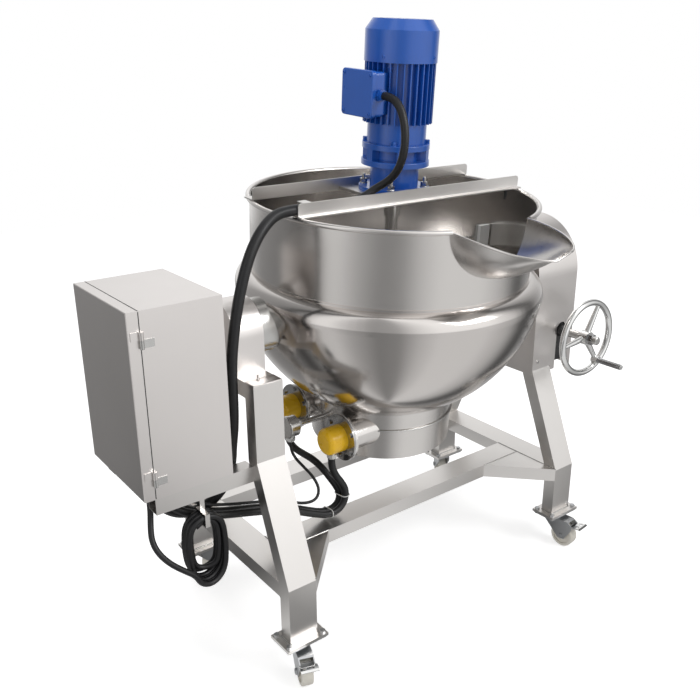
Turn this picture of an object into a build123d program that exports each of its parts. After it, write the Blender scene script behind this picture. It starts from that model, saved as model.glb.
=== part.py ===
from build123d import *

import os
from math import atan2, cos, pi, radians, sin, sqrt, tan

# Tilting jacketed kettle, electrically heated, with a motor-driven agitator.
# Millimetres, +Z up, floor at Z = 0. The trunnions lie along X, the control cabinet is at -X,
# the worm drive and its handwheel are at +X, and the kettle pours towards -Y.
# Everything is drawn about the kettle's own axis, the kettle upright. The pieces that the
# trunnions carry are then turned to the resting tilt, and all are moved to the machine's origin,
# which is on the floor under the middle of the whole machine.

# ---- general ----
REST_TILT = 4.0  # degrees that the kettle leans towards its spout at rest
RUN_FIT = 0.06  # radial clearance of a shaft in its bearing
SEAT_GAP = 0.3  # between a cover and what it sits on
SHEET = 2.0
PLATE = 8.0

# ---- stand ----
TUBE_WIDTH = 80.0
TUBE_DEPTH = 40.0
TUBE_WALL = 3.0
LEG_X = 492.0
FOOT_Y = 258.0
POST_Y = 138.0
CASTER_HEIGHT = 107.0
FOOT_PLATE_LENGTH = 120.0
FOOT_PLATE_WIDTH = 80.0
KNEE_Z = 264.0
BEND_Z = 559.0
AXIS_Z = 850.0
BEARING_HEIGHT = 90.0
BEAM_TOP_Z = 272.0
FRONT_BEAM_Y = -81.0
GUSSET_X = 152.0
GUSSET_Y = 157.0

LEG_FOOT_Z = CASTER_HEIGHT + PLATE
POST_TOP_Z = AXIS_Z - BEARING_HEIGHT
BEAM_Z = BEAM_TOP_Z - TUBE_DEPTH
LEG_SIDE = TUBE_WIDTH / 2  # half width of a leg along X
LEG_INNER_X = LEG_X - LEG_SIDE
LEG_OUTER_X = LEG_X + LEG_SIDE
POST_FACE_Y = POST_Y + TUBE_DEPTH / 2
POST_INNER_Y = POST_Y - TUBE_DEPTH / 2
FOOT_INNER_Y = FOOT_Y - TUBE_DEPTH / 2
FOOT_FACE_Y = FOOT_Y + TUBE_DEPTH / 2

# ---- casters ----
WHEEL_RADIUS = 37.5
WHEEL_WIDTH = 30.0
TRAIL = 40.0
AXLE_RADIUS = 5.0
KINGPIN_RADIUS = 6.0
CASTER_PLATE_THICK = 3.0
CASTER_BOLT_X = 50.0
CASTER_BOLT_Y = 29.0
CASTER_BOLT_RADIUS = 4.0
FORK_PLATE = 3.0
FORK_GAP = 2.0  # from wheel to fork plate
PEDAL_PIN_RADIUS = 3.0
CASTER_TURNS = {  # heading of each trailing wheel, degrees from +X
    "front_left": (-1, -1, -110.0),
    "front_right": (1, -1, -83.0),
    "back_left": (-1, 1, 15.0),
    "back_right": (1, 1, 60.0),
}
BRAKED = ("front_left", "front_right")

# ---- kettle ----
BOWL_RADIUS = 375.0
BOWL_WALL = 3.0
RIM_Z = 1128.0
BOWL_STRAIGHT_Z = 938.0
BEAD_RADIUS = 6.0
JACKET_RADIUS = 423.0
JACKET_WALL = 3.0
JACKET_CENTRE_Z = 949.0
SHOULDER_Z = 889.0
SHOULDER_CREST = 412.0
CHAMBER_RADIUS = 202.0
CHAMBER_WALL = 3.0
CHAMBER_BOTTOM_Z = 445.0
HUB_RADIUS = 70.0
TRUNNION_RADIUS = 30.0
BOWL_OUTER = BOWL_RADIUS + BOWL_WALL

# ---- spout ----
SPOUT_HALF_WIDTH = 131.0
SPOUT_DEPTH = 123.0
SPOUT_LENGTH = 230.0
SPOUT_DROP = 14.0
SPOUT_WALL = 2.5
SPOUT_END_TURN = 80.0  # where the spout's oval plan is cut off square, degrees from its root

# ---- worm drive ----
GEAR_MODULE = 5.0
WHEEL_TEETH = 60
WORM_PITCH_RADIUS = 30.0
GEAR_X = 574.0
GEAR_WIDTH = 36.0
WORM_LENGTH = 90.0
WORM_SHAFT_RADIUS = 12.5
HOUSING_BOTTOM_Z = 548.0
HOUSING_OUTER_X = 628.0
HANDWHEEL_Y = -255.0
HANDWHEEL_RADIUS = 110.0
HANDWHEEL_BAR = 10.0
SPOKE_ANGLES = (65.0, 185.0, 305.0)
CRANK_RADIUS = 98.0
CRANK_ANGLE = -56.0
GEAR_PITCH_RADIUS = GEAR_MODULE * WHEEL_TEETH / 2
WORM_Z = AXIS_Z - GEAR_PITCH_RADIUS - WORM_PITCH_RADIUS

# ---- cabinet ----
CABINET_BACK_X = -588.0
CABINET_FRONT_X = -783.0
DOOR_THICK = 28.0
CABINET_Y0 = -141.0
CABINET_Y1 = 158.0
CABINET_Z0 = 549.0
CABINET_Z1 = 988.0
SHELF_TUBE = 40.0
HINGE_RADIUS = 5.0
HINGE_HEIGHT = 38.0
HINGE_LEVELS = (601.0, 925.0)

# ---- top drive ----
BAR_Y = 119.0
BAR_WIDTH = 40.0
BAR_HEIGHT = 33.0
BAR_HALF_LENGTH = 371.0
MOTOR_X = 0.0
MOTOR_Y = 0.0
REDUCER_RADIUS = 63.5
REDUCER_FLANGE = 88.5
MOTOR_BASE_Z = 1146.0
RING_Z0 = 1213.0
RING_Z1 = 1269.0
STATOR_Z0 = 1319.0
STATOR_Z1 = 1476.0
STATOR_RADIUS = 89.0
FIN_COUNT = 32
COVER_RADIUS = 91.5
COVER_Z0 = 1464.0
COVER_TOP_Z = 1563.0
COVER_CHAMFER = 25.0
BOX_OUT_X = -136.0
BOX_HALF_Y = 60.0
BOX_Z0 = 1338.0
BOX_Z1 = 1448.0
SHAFT_RADIUS = 17.0
AGITATOR_RADIUS = 352.0
AGITATOR_BAR = 28.0
SCRAPER_RADIUS = 371.0
BEAD_TOP_Z = RIM_Z + BEAD_RADIUS

# ---- heaters and probe ----
HEATER_Y = 111.0
HEATER_Z = 523.0
SOCKET_RADIUS = 43.0
SOCKET_END_X = -225.0
FLANGE_RADIUS = 64.0
FLANGE_THICK = 6.0
GASKET_THICK = 3.0
CAP_RADIUS = 37.0
CAP_LENGTH = 55.0
GLAND_RADIUS = 12.0
PROBE_X = -305.0
PROBE_Z = 532.0
PROBE_RADIUS = 29.0

# ---- hoses ----
CONDUIT_DIAMETER = 20.0
TRUNK_DIAMETER = 26.0
CABLE_DIAMETER = 14.0
PROBE_CABLE_DIAMETER = 8.0
COIL_X = -667.0
COIL_Y = -126.0
COIL_Z = 378.0
COIL_HALF_X = 55.0
COIL_HALF_Z = 91.0
COIL_DEPTH = 44.0
COIL_BUNDLE = 30.0
STRAP_THICK = 2.0
STRAP_WIDTH = 12.0

# The box of the machine without its hoses, which sets the origin.
HANDWHEEL_REACH = GEAR_X + HANDWHEEL_RADIUS + HANDWHEEL_BAR
DOOR_REACH = CABINET_FRONT_X - DOOR_THICK
tilt_cos, tilt_sin = cos(radians(REST_TILT)), sin(radians(REST_TILT))
SPOUT_TIP_Y = -sqrt((BOWL_RADIUS - BEAD_RADIUS) ** 2 - SPOUT_HALF_WIDTH**2) - SPOUT_LENGTH
end_sin = sin(radians(SPOUT_END_TURN))
SPOUT_END_Y = SPOUT_TIP_Y + SPOUT_LENGTH * (1 - end_sin)
FRONT_REACH = SPOUT_END_Y * tilt_cos - (RIM_Z - SPOUT_DROP * end_sin**2 - AXIS_Z) * tilt_sin
BACK_REACH = JACKET_RADIUS - (JACKET_CENTRE_Z - AXIS_Z) * tilt_sin
ORIGIN_X = (HANDWHEEL_REACH + DOOR_REACH) / 2
ORIGIN_Y = (FRONT_REACH + BACK_REACH) / 2

MACHINE = Location((-ORIGIN_X, -ORIGIN_Y, 0))
TILTED = (
    MACHINE
    * Location((0, 0, AXIS_Z))
    * Location((0, 0, 0), (REST_TILT, 0, 0))
    * Location((0, 0, -AXIS_Z))
)

os.makedirs("parts", exist_ok=True)


def write(piece, label, place=MACHINE):
    """Move a finished piece into the machine's frame, label it and write it."""
    placed = piece.part.moved(place)
    placed.label = label
    export_step(placed, f"parts/{label}.step")


def at_rest(x, y, z):
    """Where a point of the upright kettle lies once the kettle has its resting tilt."""
    rise = z - AXIS_Z
    return (x, y * tilt_cos - rise * tilt_sin, AXIS_Z + y * tilt_sin + rise * tilt_cos)


# ======================= stand =======================


def leg_outline(side, inset=0.0):
    """Corners (Y, Z) of a bent leg seen along X, drawn in by inset. side is -1 in front, 1 behind."""
    half = TUBE_DEPTH / 2 - inset
    mitre = tan(atan2(FOOT_Y - POST_Y, BEND_Z - KNEE_Z) / 2)
    outer = [
        (FOOT_Y + half, LEG_FOOT_Z),
        (FOOT_Y + half, KNEE_Z + half * mitre),
        (POST_Y + half, BEND_Z + half * mitre),
        (POST_Y + half, POST_TOP_Z),
    ]
    inner = [
        (POST_Y - half, POST_TOP_Z),
        (POST_Y - half, BEND_Z - half * mitre),
        (FOOT_Y - half, KNEE_Z - half * mitre),
        (FOOT_Y - half, LEG_FOOT_Z),
    ]
    return [(side * y, z) for y, z in outer + inner]


legs = {}
for end, name in ((-1, "left_legs"), (1, "right_legs")):
    with BuildPart() as legs[name]:
        for side in (-1, 1):
            with BuildSketch(Plane.YZ.offset(end * LEG_X)):
                with BuildLine():
                    Polyline(*leg_outline(side), close=True)
                make_face()
            extrude(amount=LEG_SIDE, both=True)
        for side in (-1, 1):
            with BuildSketch(Plane.YZ.offset(end * LEG_X)):
                with BuildLine():
                    Polyline(*leg_outline(side, TUBE_WALL), close=True)
                make_face()
            extrude(amount=LEG_SIDE - TUBE_WALL, both=True, mode=Mode.SUBTRACT)
    write(legs[name], name)

with BuildPart() as cross_beams:
    for end in (-1, 1):
        with BuildSketch(Plane.XZ.offset(-FOOT_Y)):
            with Locations((end * LEG_X, BEAM_Z + TUBE_DEPTH / 2)):
                Rectangle(TUBE_WIDTH, TUBE_DEPTH)
                Rectangle(TUBE_WIDTH - 2 * TUBE_WALL, TUBE_DEPTH - 2 * TUBE_WALL, mode=Mode.SUBTRACT)
        extrude(amount=2 * FOOT_Y)
        for side in (-1, 1):
            with BuildSketch(Plane.YZ.offset(end * LEG_X)):
                with BuildLine():
                    Polyline(*leg_outline(side), close=True)
                make_face()
            extrude(amount=LEG_SIDE + 1, both=True, mode=Mode.SUBTRACT)
write(cross_beams, "cross_beams")

with BuildPart() as long_beams:
    with BuildSketch(Plane.YZ.offset(-LEG_INNER_X)):
        for middle in (FRONT_BEAM_Y, FOOT_FACE_Y - TUBE_WIDTH / 2):
            with Locations((middle, BEAM_Z + TUBE_DEPTH / 2)):
                Rectangle(TUBE_WIDTH, TUBE_DEPTH)
                Rectangle(TUBE_WIDTH - 2 * TUBE_WALL, TUBE_DEPTH - 2 * TUBE_WALL, mode=Mode.SUBTRACT)
    extrude(amount=2 * LEG_INNER_X)
write(long_beams, "long_beams")

gusset_top_y = FRONT_BEAM_Y - TUBE_WIDTH / 2
with BuildPart() as gussets:
    for end in (-1, 1):
        with BuildSketch(Plane.XY.offset(BEAM_Z)):
            with BuildLine():
                Polyline(
                    (end * (LEG_INNER_X - GUSSET_X), gusset_top_y),
                    (end * LEG_INNER_X, gusset_top_y),
                    (end * LEG_INNER_X, gusset_top_y - GUSSET_Y),
                    close=True,
                )
            make_face()
        extrude(amount=TUBE_DEPTH)
write(gussets, "gussets")

with BuildPart() as foot_plates:
    with BuildSketch(Plane.XY.offset(CASTER_HEIGHT)):
        with GridLocations(2 * LEG_X, 2 * FOOT_Y, 2, 2):
            Rectangle(FOOT_PLATE_LENGTH, FOOT_PLATE_WIDTH)
            with GridLocations(2 * CASTER_BOLT_X, 2 * CASTER_BOLT_Y, 2, 2):
                Circle(CASTER_BOLT_RADIUS + 0.5, mode=Mode.SUBTRACT)
    extrude(amount=PLATE)
write(foot_plates, "foot_plates")

with BuildPart() as bearing_beams:
    with BuildSketch(Plane.XZ.offset(-POST_INNER_Y)):
        for end in (-1, 1):
            with Locations((end * LEG_X, POST_TOP_Z - TUBE_DEPTH / 2)):
                Rectangle(TUBE_WIDTH, TUBE_DEPTH)
                Rectangle(TUBE_WIDTH - 2 * TUBE_WALL, TUBE_DEPTH - 2 * TUBE_WALL, mode=Mode.SUBTRACT)
    extrude(amount=2 * POST_INNER_Y)
write(bearing_beams, "bearing_beams")

BLOCK_HALF = 75.0
BLOCK_BASE = 16.0
BLOCK_RADIUS = 45.0
BLOCK_WIDTH = 44.0
with BuildPart() as bearing_blocks:
    for end in (-1, 1):
        with BuildSketch(Plane.YZ.offset(end * LEG_X)):
            with Locations((0, AXIS_Z)):
                Circle(BLOCK_RADIUS)
            with BuildLine():
                Polyline(
                    (-BLOCK_HALF, POST_TOP_Z),
                    (BLOCK_HALF, POST_TOP_Z),
                    (BLOCK_HALF, POST_TOP_Z + BLOCK_BASE),
                    (BLOCK_RADIUS, POST_TOP_Z + BLOCK_BASE),
                    (BLOCK_RADIUS, AXIS_Z),
                    (-BLOCK_RADIUS, AXIS_Z),
                    (-BLOCK_RADIUS, POST_TOP_Z + BLOCK_BASE),
                    (-BLOCK_HALF, POST_TOP_Z + BLOCK_BASE),
                    close=True,
                )
            make_face()
            with Locations((0, AXIS_Z)):
                Circle(TRUNNION_RADIUS + RUN_FIT, mode=Mode.SUBTRACT)
        extrude(amount=BLOCK_WIDTH / 2, both=True)
write(bearing_blocks, "bearing_blocks")

# ======================= covers of the trunnions =======================

COVER_HALF = 82.0
SHAFT_OPENING = 36.0


def arch(half, bottom):
    """A face with straight sides from bottom up to the trunnion axis and a half circle about it."""
    with BuildSketch() as face:
        with Locations((0, (AXIS_Z + bottom) / 2)):
            Rectangle(2 * half, AXIS_Z - bottom)
        with Locations((0, AXIS_Z)):
            Circle(half)
    return face.sketch


with BuildPart() as trunnion_cover:
    with BuildSketch(Plane.YZ.offset(-LEG_OUTER_X)):
        add(arch(COVER_HALF, POST_TOP_Z))
    extrude(amount=TUBE_WIDTH)
    with BuildSketch(Plane.YZ.offset(-LEG_OUTER_X + SHEET)):
        add(arch(COVER_HALF - SHEET, POST_TOP_Z))
    extrude(amount=TUBE_WIDTH - 2 * SHEET, mode=Mode.SUBTRACT)
    with BuildSketch(Plane.YZ.offset(-LEG_INNER_X - 2 * SHEET)):
        with Locations((0, AXIS_Z)):
            Circle(SHAFT_OPENING)
        with Locations((0, (AXIS_Z + POST_TOP_Z) / 2)):
            Rectangle(2 * SHAFT_OPENING, BEARING_HEIGHT)
    extrude(amount=3 * SHEET, mode=Mode.SUBTRACT)
write(trunnion_cover, "trunnion_cover")

HOUSING_HALF = POST_FACE_Y + SEAT_GAP + SHEET
HOUSING_INNER_X = LEG_INNER_X - SEAT_GAP - SHEET
SLOT_HALF = 21.0
SLOT_TOP_Z = WORM_Z + 6.0
with BuildPart() as gear_housing:
    with BuildSketch(Plane.YZ.offset(HOUSING_INNER_X)):
        add(arch(HOUSING_HALF, HOUSING_BOTTOM_Z))
    extrude(amount=HOUSING_OUTER_X - HOUSING_INNER_X)
    with BuildSketch(Plane.YZ.offset(HOUSING_INNER_X + SHEET)):
        add(arch(HOUSING_HALF - SHEET, HOUSING_BOTTOM_Z))
    extrude(amount=HOUSING_OUTER_X - HOUSING_INNER_X - 2 * SHEET, mode=Mode.SUBTRACT)
    with BuildSketch(Plane.YZ.offset(HOUSING_INNER_X - SHEET)):
        with Locations((0, AXIS_Z)):
            Circle(SHAFT_OPENING)
        with Locations((0, (AXIS_Z + HOUSING_BOTTOM_Z) / 2)):
            Rectangle(2 * SHAFT_OPENING, AXIS_Z - HOUSING_BOTTOM_Z)
    extrude(amount=3 * SHEET, mode=Mode.SUBTRACT)
    with BuildSketch(Plane.XZ.offset(HOUSING_HALF + SHEET)):
        with Locations((GEAR_X, SLOT_TOP_Z)):
            Circle(SLOT_HALF)
        with Locations((GEAR_X, (SLOT_TOP_Z + HOUSING_BOTTOM_Z) / 2)):
            Rectangle(2 * SLOT_HALF, SLOT_TOP_Z - HOUSING_BOTTOM_Z)
    extrude(amount=-3 * SHEET, mode=Mode.SUBTRACT)
    with BuildSketch(Plane.XY.offset(HOUSING_BOTTOM_Z - 1)):
        with Locations((LEG_X, 0)):
            Rectangle(TUBE_WIDTH + 2 * SEAT_GAP, 2 * HOUSING_HALF + 2)
    extrude(amount=BEND_Z + 5 - HOUSING_BOTTOM_Z, mode=Mode.SUBTRACT)
write(gear_housing, "gear_housing")

# ======================= worm drive =======================

LUG_Y = 95.0
LUG_THICK = 20.0
LUG_TOP_Z = WORM_Z + 24.0
BRACKET_BOTTOM_Z = WORM_Z - 34.0
BRACKET_REACH_X = GEAR_X + 26.0
with BuildPart() as worm_bracket:
    with BuildSketch(Plane.XY.offset(BRACKET_BOTTOM_Z)):
        with Locations(((LEG_OUTER_X + BRACKET_REACH_X) / 2, 0)):
            Rectangle(BRACKET_REACH_X - LEG_OUTER_X, 2 * LUG_Y + LUG_THICK)
    extrude(amount=PLATE)
    with BuildSketch(Plane.YZ.offset(LEG_OUTER_X)):
        with Locations((0, (BRACKET_BOTTOM_Z + LUG_TOP_Z) / 2)):
            Rectangle(2 * POST_FACE_Y, LUG_TOP_Z - BRACKET_BOTTOM_Z)
    extrude(amount=PLATE)
    for side in (-1, 1):
        with BuildSketch(Plane.XZ.offset(-side * LUG_Y)):
            with BuildLine():
                Line((LEG_OUTER_X, BRACKET_BOTTOM_Z), (BRACKET_REACH_X, BRACKET_BOTTOM_Z))
                Line((BRACKET_REACH_X, BRACKET_BOTTOM_Z), (BRACKET_REACH_X, WORM_Z))
                Line((BRACKET_REACH_X, WORM_Z), (GEAR_X + 10, LUG_TOP_Z))
                Line((GEAR_X + 10, LUG_TOP_Z), (LEG_OUTER_X, LUG_TOP_Z))
                Line((LEG_OUTER_X, LUG_TOP_Z), (LEG_OUTER_X, BRACKET_BOTTOM_Z))
            make_face()
            with Locations((GEAR_X, WORM_Z)):
                Circle(WORM_SHAFT_RADIUS + RUN_FIT, mode=Mode.SUBTRACT)
        extrude(amount=LUG_THICK / 2, both=True)
write(worm_bracket, "worm_bracket")

BUSH_RADIUS = 19.0
BUSH_Y0 = LUG_Y + LUG_THICK / 2
BUSH_Y1 = HOUSING_HALF + 12.0
with BuildPart() as worm_bearing:
    with BuildSketch(Plane.XZ.offset(BUSH_Y0)):
        with Locations((GEAR_X, WORM_Z)):
            Circle(BUSH_RADIUS)
            Circle(WORM_SHAFT_RADIUS + RUN_FIT, mode=Mode.SUBTRACT)
    extrude(amount=BUSH_Y1 - BUSH_Y0)
    fillet(worm_bearing.edges().group_by(Axis.Y)[0], 2.0)
write(worm_bearing, "worm_bearing")

GEAR_ROOT = GEAR_PITCH_RADIUS - 1.25 * GEAR_MODULE
WORM_ROOT = WORM_PITCH_RADIUS - 1.25 * GEAR_MODULE
GEAR_DISH = 10.0
with BuildPart() as worm_wheel:
    with BuildSketch(Plane.YZ.offset(GEAR_X)):
        with Locations((0, AXIS_Z)):
            Circle(GEAR_ROOT)
            Circle(TRUNNION_RADIUS, mode=Mode.SUBTRACT)
    extrude(amount=GEAR_WIDTH / 2, both=True)
    for face_x in (GEAR_X - GEAR_WIDTH / 2, GEAR_X + GEAR_WIDTH / 2 - GEAR_DISH):
        with BuildSketch(Plane.YZ.offset(face_x)):
            with Locations((0, AXIS_Z)):
                Circle(GEAR_ROOT - 18)
                Circle(TRUNNION_RADIUS + 22, mode=Mode.SUBTRACT)
        extrude(amount=GEAR_DISH, mode=Mode.SUBTRACT)
write(worm_wheel, "worm_wheel", TILTED)

SHAFT_END_Y = HANDWHEEL_Y - 42.0
NUT_RADIUS = 17.0
with BuildPart() as worm_shaft:
    with BuildSketch(Plane.XZ.offset(-LUG_Y - LUG_THICK / 2 - 6)):
        with Locations((GEAR_X, WORM_Z)):
            Circle(WORM_SHAFT_RADIUS)
    extrude(amount=LUG_Y + LUG_THICK / 2 + 6 - SHAFT_END_Y)
    with BuildSketch(Plane.XZ.offset(-WORM_LENGTH / 2)):
        with Locations((GEAR_X, WORM_Z)):
            Circle(WORM_ROOT)
    extrude(amount=WORM_LENGTH)
    chamfer(worm_shaft.edges().group_by(Axis.Y)[0], 2.0)
write(worm_shaft, "worm_shaft")

HANDWHEEL_HUB = 21.0
HUB_BACK_Y = HANDWHEEL_Y + 20.0
HUB_FRONT_Y = HANDWHEEL_Y - 12.0
CRANK_X = GEAR_X + CRANK_RADIUS * cos(radians(CRANK_ANGLE))
CRANK_Z = WORM_Z + CRANK_RADIUS * sin(radians(CRANK_ANGLE))
STUD_RADIUS = 5.0
CRANK_LENGTH = 78.0
CRANK_START_Y = HANDWHEEL_Y - 13.0
with BuildPart() as handwheel:
    with BuildSketch(Plane.XY.offset(WORM_Z)):
        with Locations((GEAR_X + HANDWHEEL_RADIUS, HANDWHEEL_Y)):
            Circle(HANDWHEEL_BAR)
    revolve(axis=Axis((GEAR_X, HANDWHEEL_Y, WORM_Z), (0, 1, 0)))
    with BuildSketch(Plane.XZ.offset(-HUB_BACK_Y)):
        with Locations((GEAR_X, WORM_Z)):
            Circle(HANDWHEEL_HUB)
    extrude(amount=HUB_BACK_Y - HUB_FRONT_Y)
    for angle in SPOKE_ANGLES:
        along = Vector(cos(radians(angle)), 0, sin(radians(angle)))
        hub_centre = Vector(GEAR_X, HANDWHEEL_Y + 4, WORM_Z)
        rim_centre = Vector(GEAR_X, HANDWHEEL_Y, WORM_Z)
        with BuildSketch(Plane(origin=hub_centre + along * 12, z_dir=along)):
            Circle(10.0)
        with BuildSketch(Plane(origin=rim_centre + along * (HANDWHEEL_RADIUS - 2), z_dir=along)):
            Circle(6.5)
        loft()
    with BuildSketch(Plane.XZ.offset(-HANDWHEEL_Y - 8)):
        with Locations((CRANK_X, CRANK_Z)):
            Circle(12.0)
    extrude(amount=8 + HANDWHEEL_Y - CRANK_START_Y)
    with BuildSketch(Plane.XZ.offset(-HANDWHEEL_Y)):
        with Locations((CRANK_X, CRANK_Z)):
            Circle(STUD_RADIUS)
    extrude(amount=HANDWHEEL_Y - CRANK_START_Y + CRANK_LENGTH + 5)
    with BuildSketch(Plane.XZ.offset(-CRANK_START_Y + CRANK_LENGTH + 0.6)):
        with Locations((CRANK_X, CRANK_Z)):
            Circle(7.0)
    extrude(amount=4.0)
    with BuildSketch(Plane.XZ.offset(-HUB_BACK_Y - 1)):
        with Locations((GEAR_X, WORM_Z)):
            Circle(WORM_SHAFT_RADIUS)
    extrude(amount=HUB_BACK_Y - HUB_FRONT_Y + 2, mode=Mode.SUBTRACT)
write(handwheel, "handwheel")

with BuildPart() as handwheel_nut:
    with BuildSketch(Plane.XZ.offset(-HUB_FRONT_Y)):
        with Locations((GEAR_X, WORM_Z)):
            RegularPolygon(NUT_RADIUS, 6)
            Circle(WORM_SHAFT_RADIUS, mode=Mode.SUBTRACT)
    extrude(amount=14.0)
write(handwheel_nut, "handwheel_nut")

with BuildPart() as crank_handle:
    with BuildSketch(Plane.XZ.offset(-CRANK_START_Y + 0.3)):
        with Locations((CRANK_X, CRANK_Z)):
            Circle(8.5)
            Circle(STUD_RADIUS + RUN_FIT, mode=Mode.SUBTRACT)
    extrude(amount=CRANK_LENGTH)
write(crank_handle, "crank_handle")

# ======================= kettle =======================

with BuildPart() as whole_bowl:
    with BuildSketch(Plane.XZ):
        with BuildLine():
            Line((0, BOWL_STRAIGHT_Z - BOWL_OUTER), (0, BOWL_STRAIGHT_Z - BOWL_RADIUS))
            CenterArc((0, BOWL_STRAIGHT_Z), BOWL_RADIUS, -90, 90)
            Line((BOWL_RADIUS, BOWL_STRAIGHT_Z), (BOWL_RADIUS, RIM_Z))
            Line((BOWL_RADIUS, RIM_Z), (BOWL_OUTER, RIM_Z))
            Line((BOWL_OUTER, RIM_Z), (BOWL_OUTER, BOWL_STRAIGHT_Z))
            CenterArc((0, BOWL_STRAIGHT_Z), BOWL_OUTER, -90, 90)
        make_face()
        with Locations((BOWL_OUTER + BEAD_RADIUS - BOWL_WALL + 1, RIM_Z)):
            Circle(BEAD_RADIUS)
    revolve(axis=Axis.Z)


def spout_oval(turn, wall):
    """Half width, depth, Y and top Z of the spout's section at turn degrees round its oval plan."""
    width = SPOUT_HALF_WIDTH * cos(radians(turn)) - wall
    depth = SPOUT_DEPTH * cos(radians(turn)) - wall
    y = SPOUT_TIP_Y + SPOUT_LENGTH * (1 - sin(radians(turn)))
    return width, depth, y, RIM_Z - SPOUT_DROP * sin(radians(turn)) ** 2


def spout_section(turn, wall, half, setback=0.0):
    """Oval section of the spout, or its lower half."""
    width, depth, y, top = spout_oval(turn, wall)
    with BuildSketch(Plane.XZ.offset(-y - setback)) as section:
        with Locations((0, top)):
            Ellipse(width, depth)
            if half:
                Rectangle(3 * width, 3 * depth, align=(Align.CENTER, Align.MIN), mode=Mode.SUBTRACT)
    return section.sketch


SPOUT_TURNS = (0, 20, 40, 57, 70, SPOUT_END_TURN)
with BuildPart() as spout_hollow:
    for turn in SPOUT_TURNS:
        end_wall = SPOUT_WALL if turn == SPOUT_END_TURN else 0.0
        add(spout_section(turn, SPOUT_WALL, False, end_wall))
    loft()

# The mouth where the bowl opens into the spout, with the bead ending at the spout's roots.
with BuildPart() as bowl:
    add(whole_bowl.part)
    with BuildSketch(Plane.XZ.offset(BOWL_RADIUS - 60)):
        with Locations((0, RIM_Z)):
            Ellipse(SPOUT_HALF_WIDTH - SPOUT_WALL, SPOUT_DEPTH - SPOUT_WALL)
            Rectangle(
                2 * SPOUT_HALF_WIDTH,
                3 * BEAD_RADIUS,
                align=(Align.CENTER, Align.MIN),
            )
    extrude(amount=100.0, mode=Mode.SUBTRACT)
    with BuildSketch(Plane.XY.offset(RIM_Z - BEAD_RADIUS - 1)):
        with Locations((0, -BOWL_OUTER)):
            Rectangle(2 * SPOUT_HALF_WIDTH, 120.0)
        Circle(BOWL_OUTER, mode=Mode.SUBTRACT)
    extrude(amount=3 * BEAD_RADIUS, mode=Mode.SUBTRACT)

with BuildPart() as spout:
    for turn in SPOUT_TURNS:
        add(spout_section(turn, 0.0, True))
    loft()
    add(spout_hollow.part, mode=Mode.SUBTRACT)
    with BuildSketch(Plane.XY.offset(RIM_Z - 2 * SPOUT_DEPTH)):
        Circle(BOWL_OUTER)
    extrude(amount=3 * SPOUT_DEPTH, mode=Mode.SUBTRACT)
    add(bowl.part, mode=Mode.SUBTRACT)
write(bowl, "bowl", TILTED)
write(spout, "spout", TILTED)


def jacket_profile(inset):
    """Ends and middle of the jacket's round side, drawn in by inset."""
    radius = JACKET_RADIUS - inset
    low_x = CHAMBER_RADIUS - CHAMBER_WALL
    low_z = JACKET_CENTRE_Z - sqrt(radius**2 - low_x**2)
    high_x = sqrt(radius**2 - (JACKET_CENTRE_Z - SHOULDER_Z) ** 2)
    middle = (radius * cos(radians(-40)), JACKET_CENTRE_Z + radius * sin(radians(-40)))
    return (low_x, low_z), middle, (high_x, SHOULDER_Z)


SEAM_LAND = 6.0
with BuildPart() as jacket:
    with BuildSketch(Plane.XZ):
        with BuildLine():
            low, middle, high = jacket_profile(0)
            ThreePointArc(low, middle, high)
            ThreePointArc(high, (SHOULDER_CREST, BOWL_STRAIGHT_Z - 18), (BOWL_OUTER + JACKET_WALL, BOWL_STRAIGHT_Z))
            seam_outer = (BOWL_OUTER + JACKET_WALL, BOWL_STRAIGHT_Z + SEAM_LAND)
            Line((BOWL_OUTER + JACKET_WALL, BOWL_STRAIGHT_Z), seam_outer)
            Line(seam_outer, (BOWL_OUTER, BOWL_STRAIGHT_Z + SEAM_LAND))
            Line((BOWL_OUTER, BOWL_STRAIGHT_Z + SEAM_LAND), (BOWL_OUTER, BOWL_STRAIGHT_Z - JACKET_WALL))
            low_in, middle_in, high_in = jacket_profile(JACKET_WALL)
            ThreePointArc(
                (BOWL_OUTER, BOWL_STRAIGHT_Z - JACKET_WALL),
                (SHOULDER_CREST - 2 * JACKET_WALL / sqrt(2), BOWL_STRAIGHT_Z - 18 - JACKET_WALL / sqrt(2)),
                high_in,
            )
            ThreePointArc(high_in, middle_in, low_in)
            Line(low_in, low)
        make_face()
    revolve(axis=Axis.Z)
write(jacket, "jacket", TILTED)

# The jacket as a solid body, to cut what is welded to its outside.
with BuildPart() as jacket_body:
    with BuildSketch(Plane.XZ):
        with BuildLine():
            ThreePointArc((0, JACKET_CENTRE_Z - JACKET_RADIUS), middle, high)
            ThreePointArc(high, (SHOULDER_CREST, BOWL_STRAIGHT_Z - 18), (BOWL_OUTER + JACKET_WALL, BOWL_STRAIGHT_Z))
            Line((BOWL_OUTER + JACKET_WALL, BOWL_STRAIGHT_Z), (0, BOWL_STRAIGHT_Z))
            Line((0, BOWL_STRAIGHT_Z), (0, JACKET_CENTRE_Z - JACKET_RADIUS))
        make_face()
    revolve(axis=Axis.Z)

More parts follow.
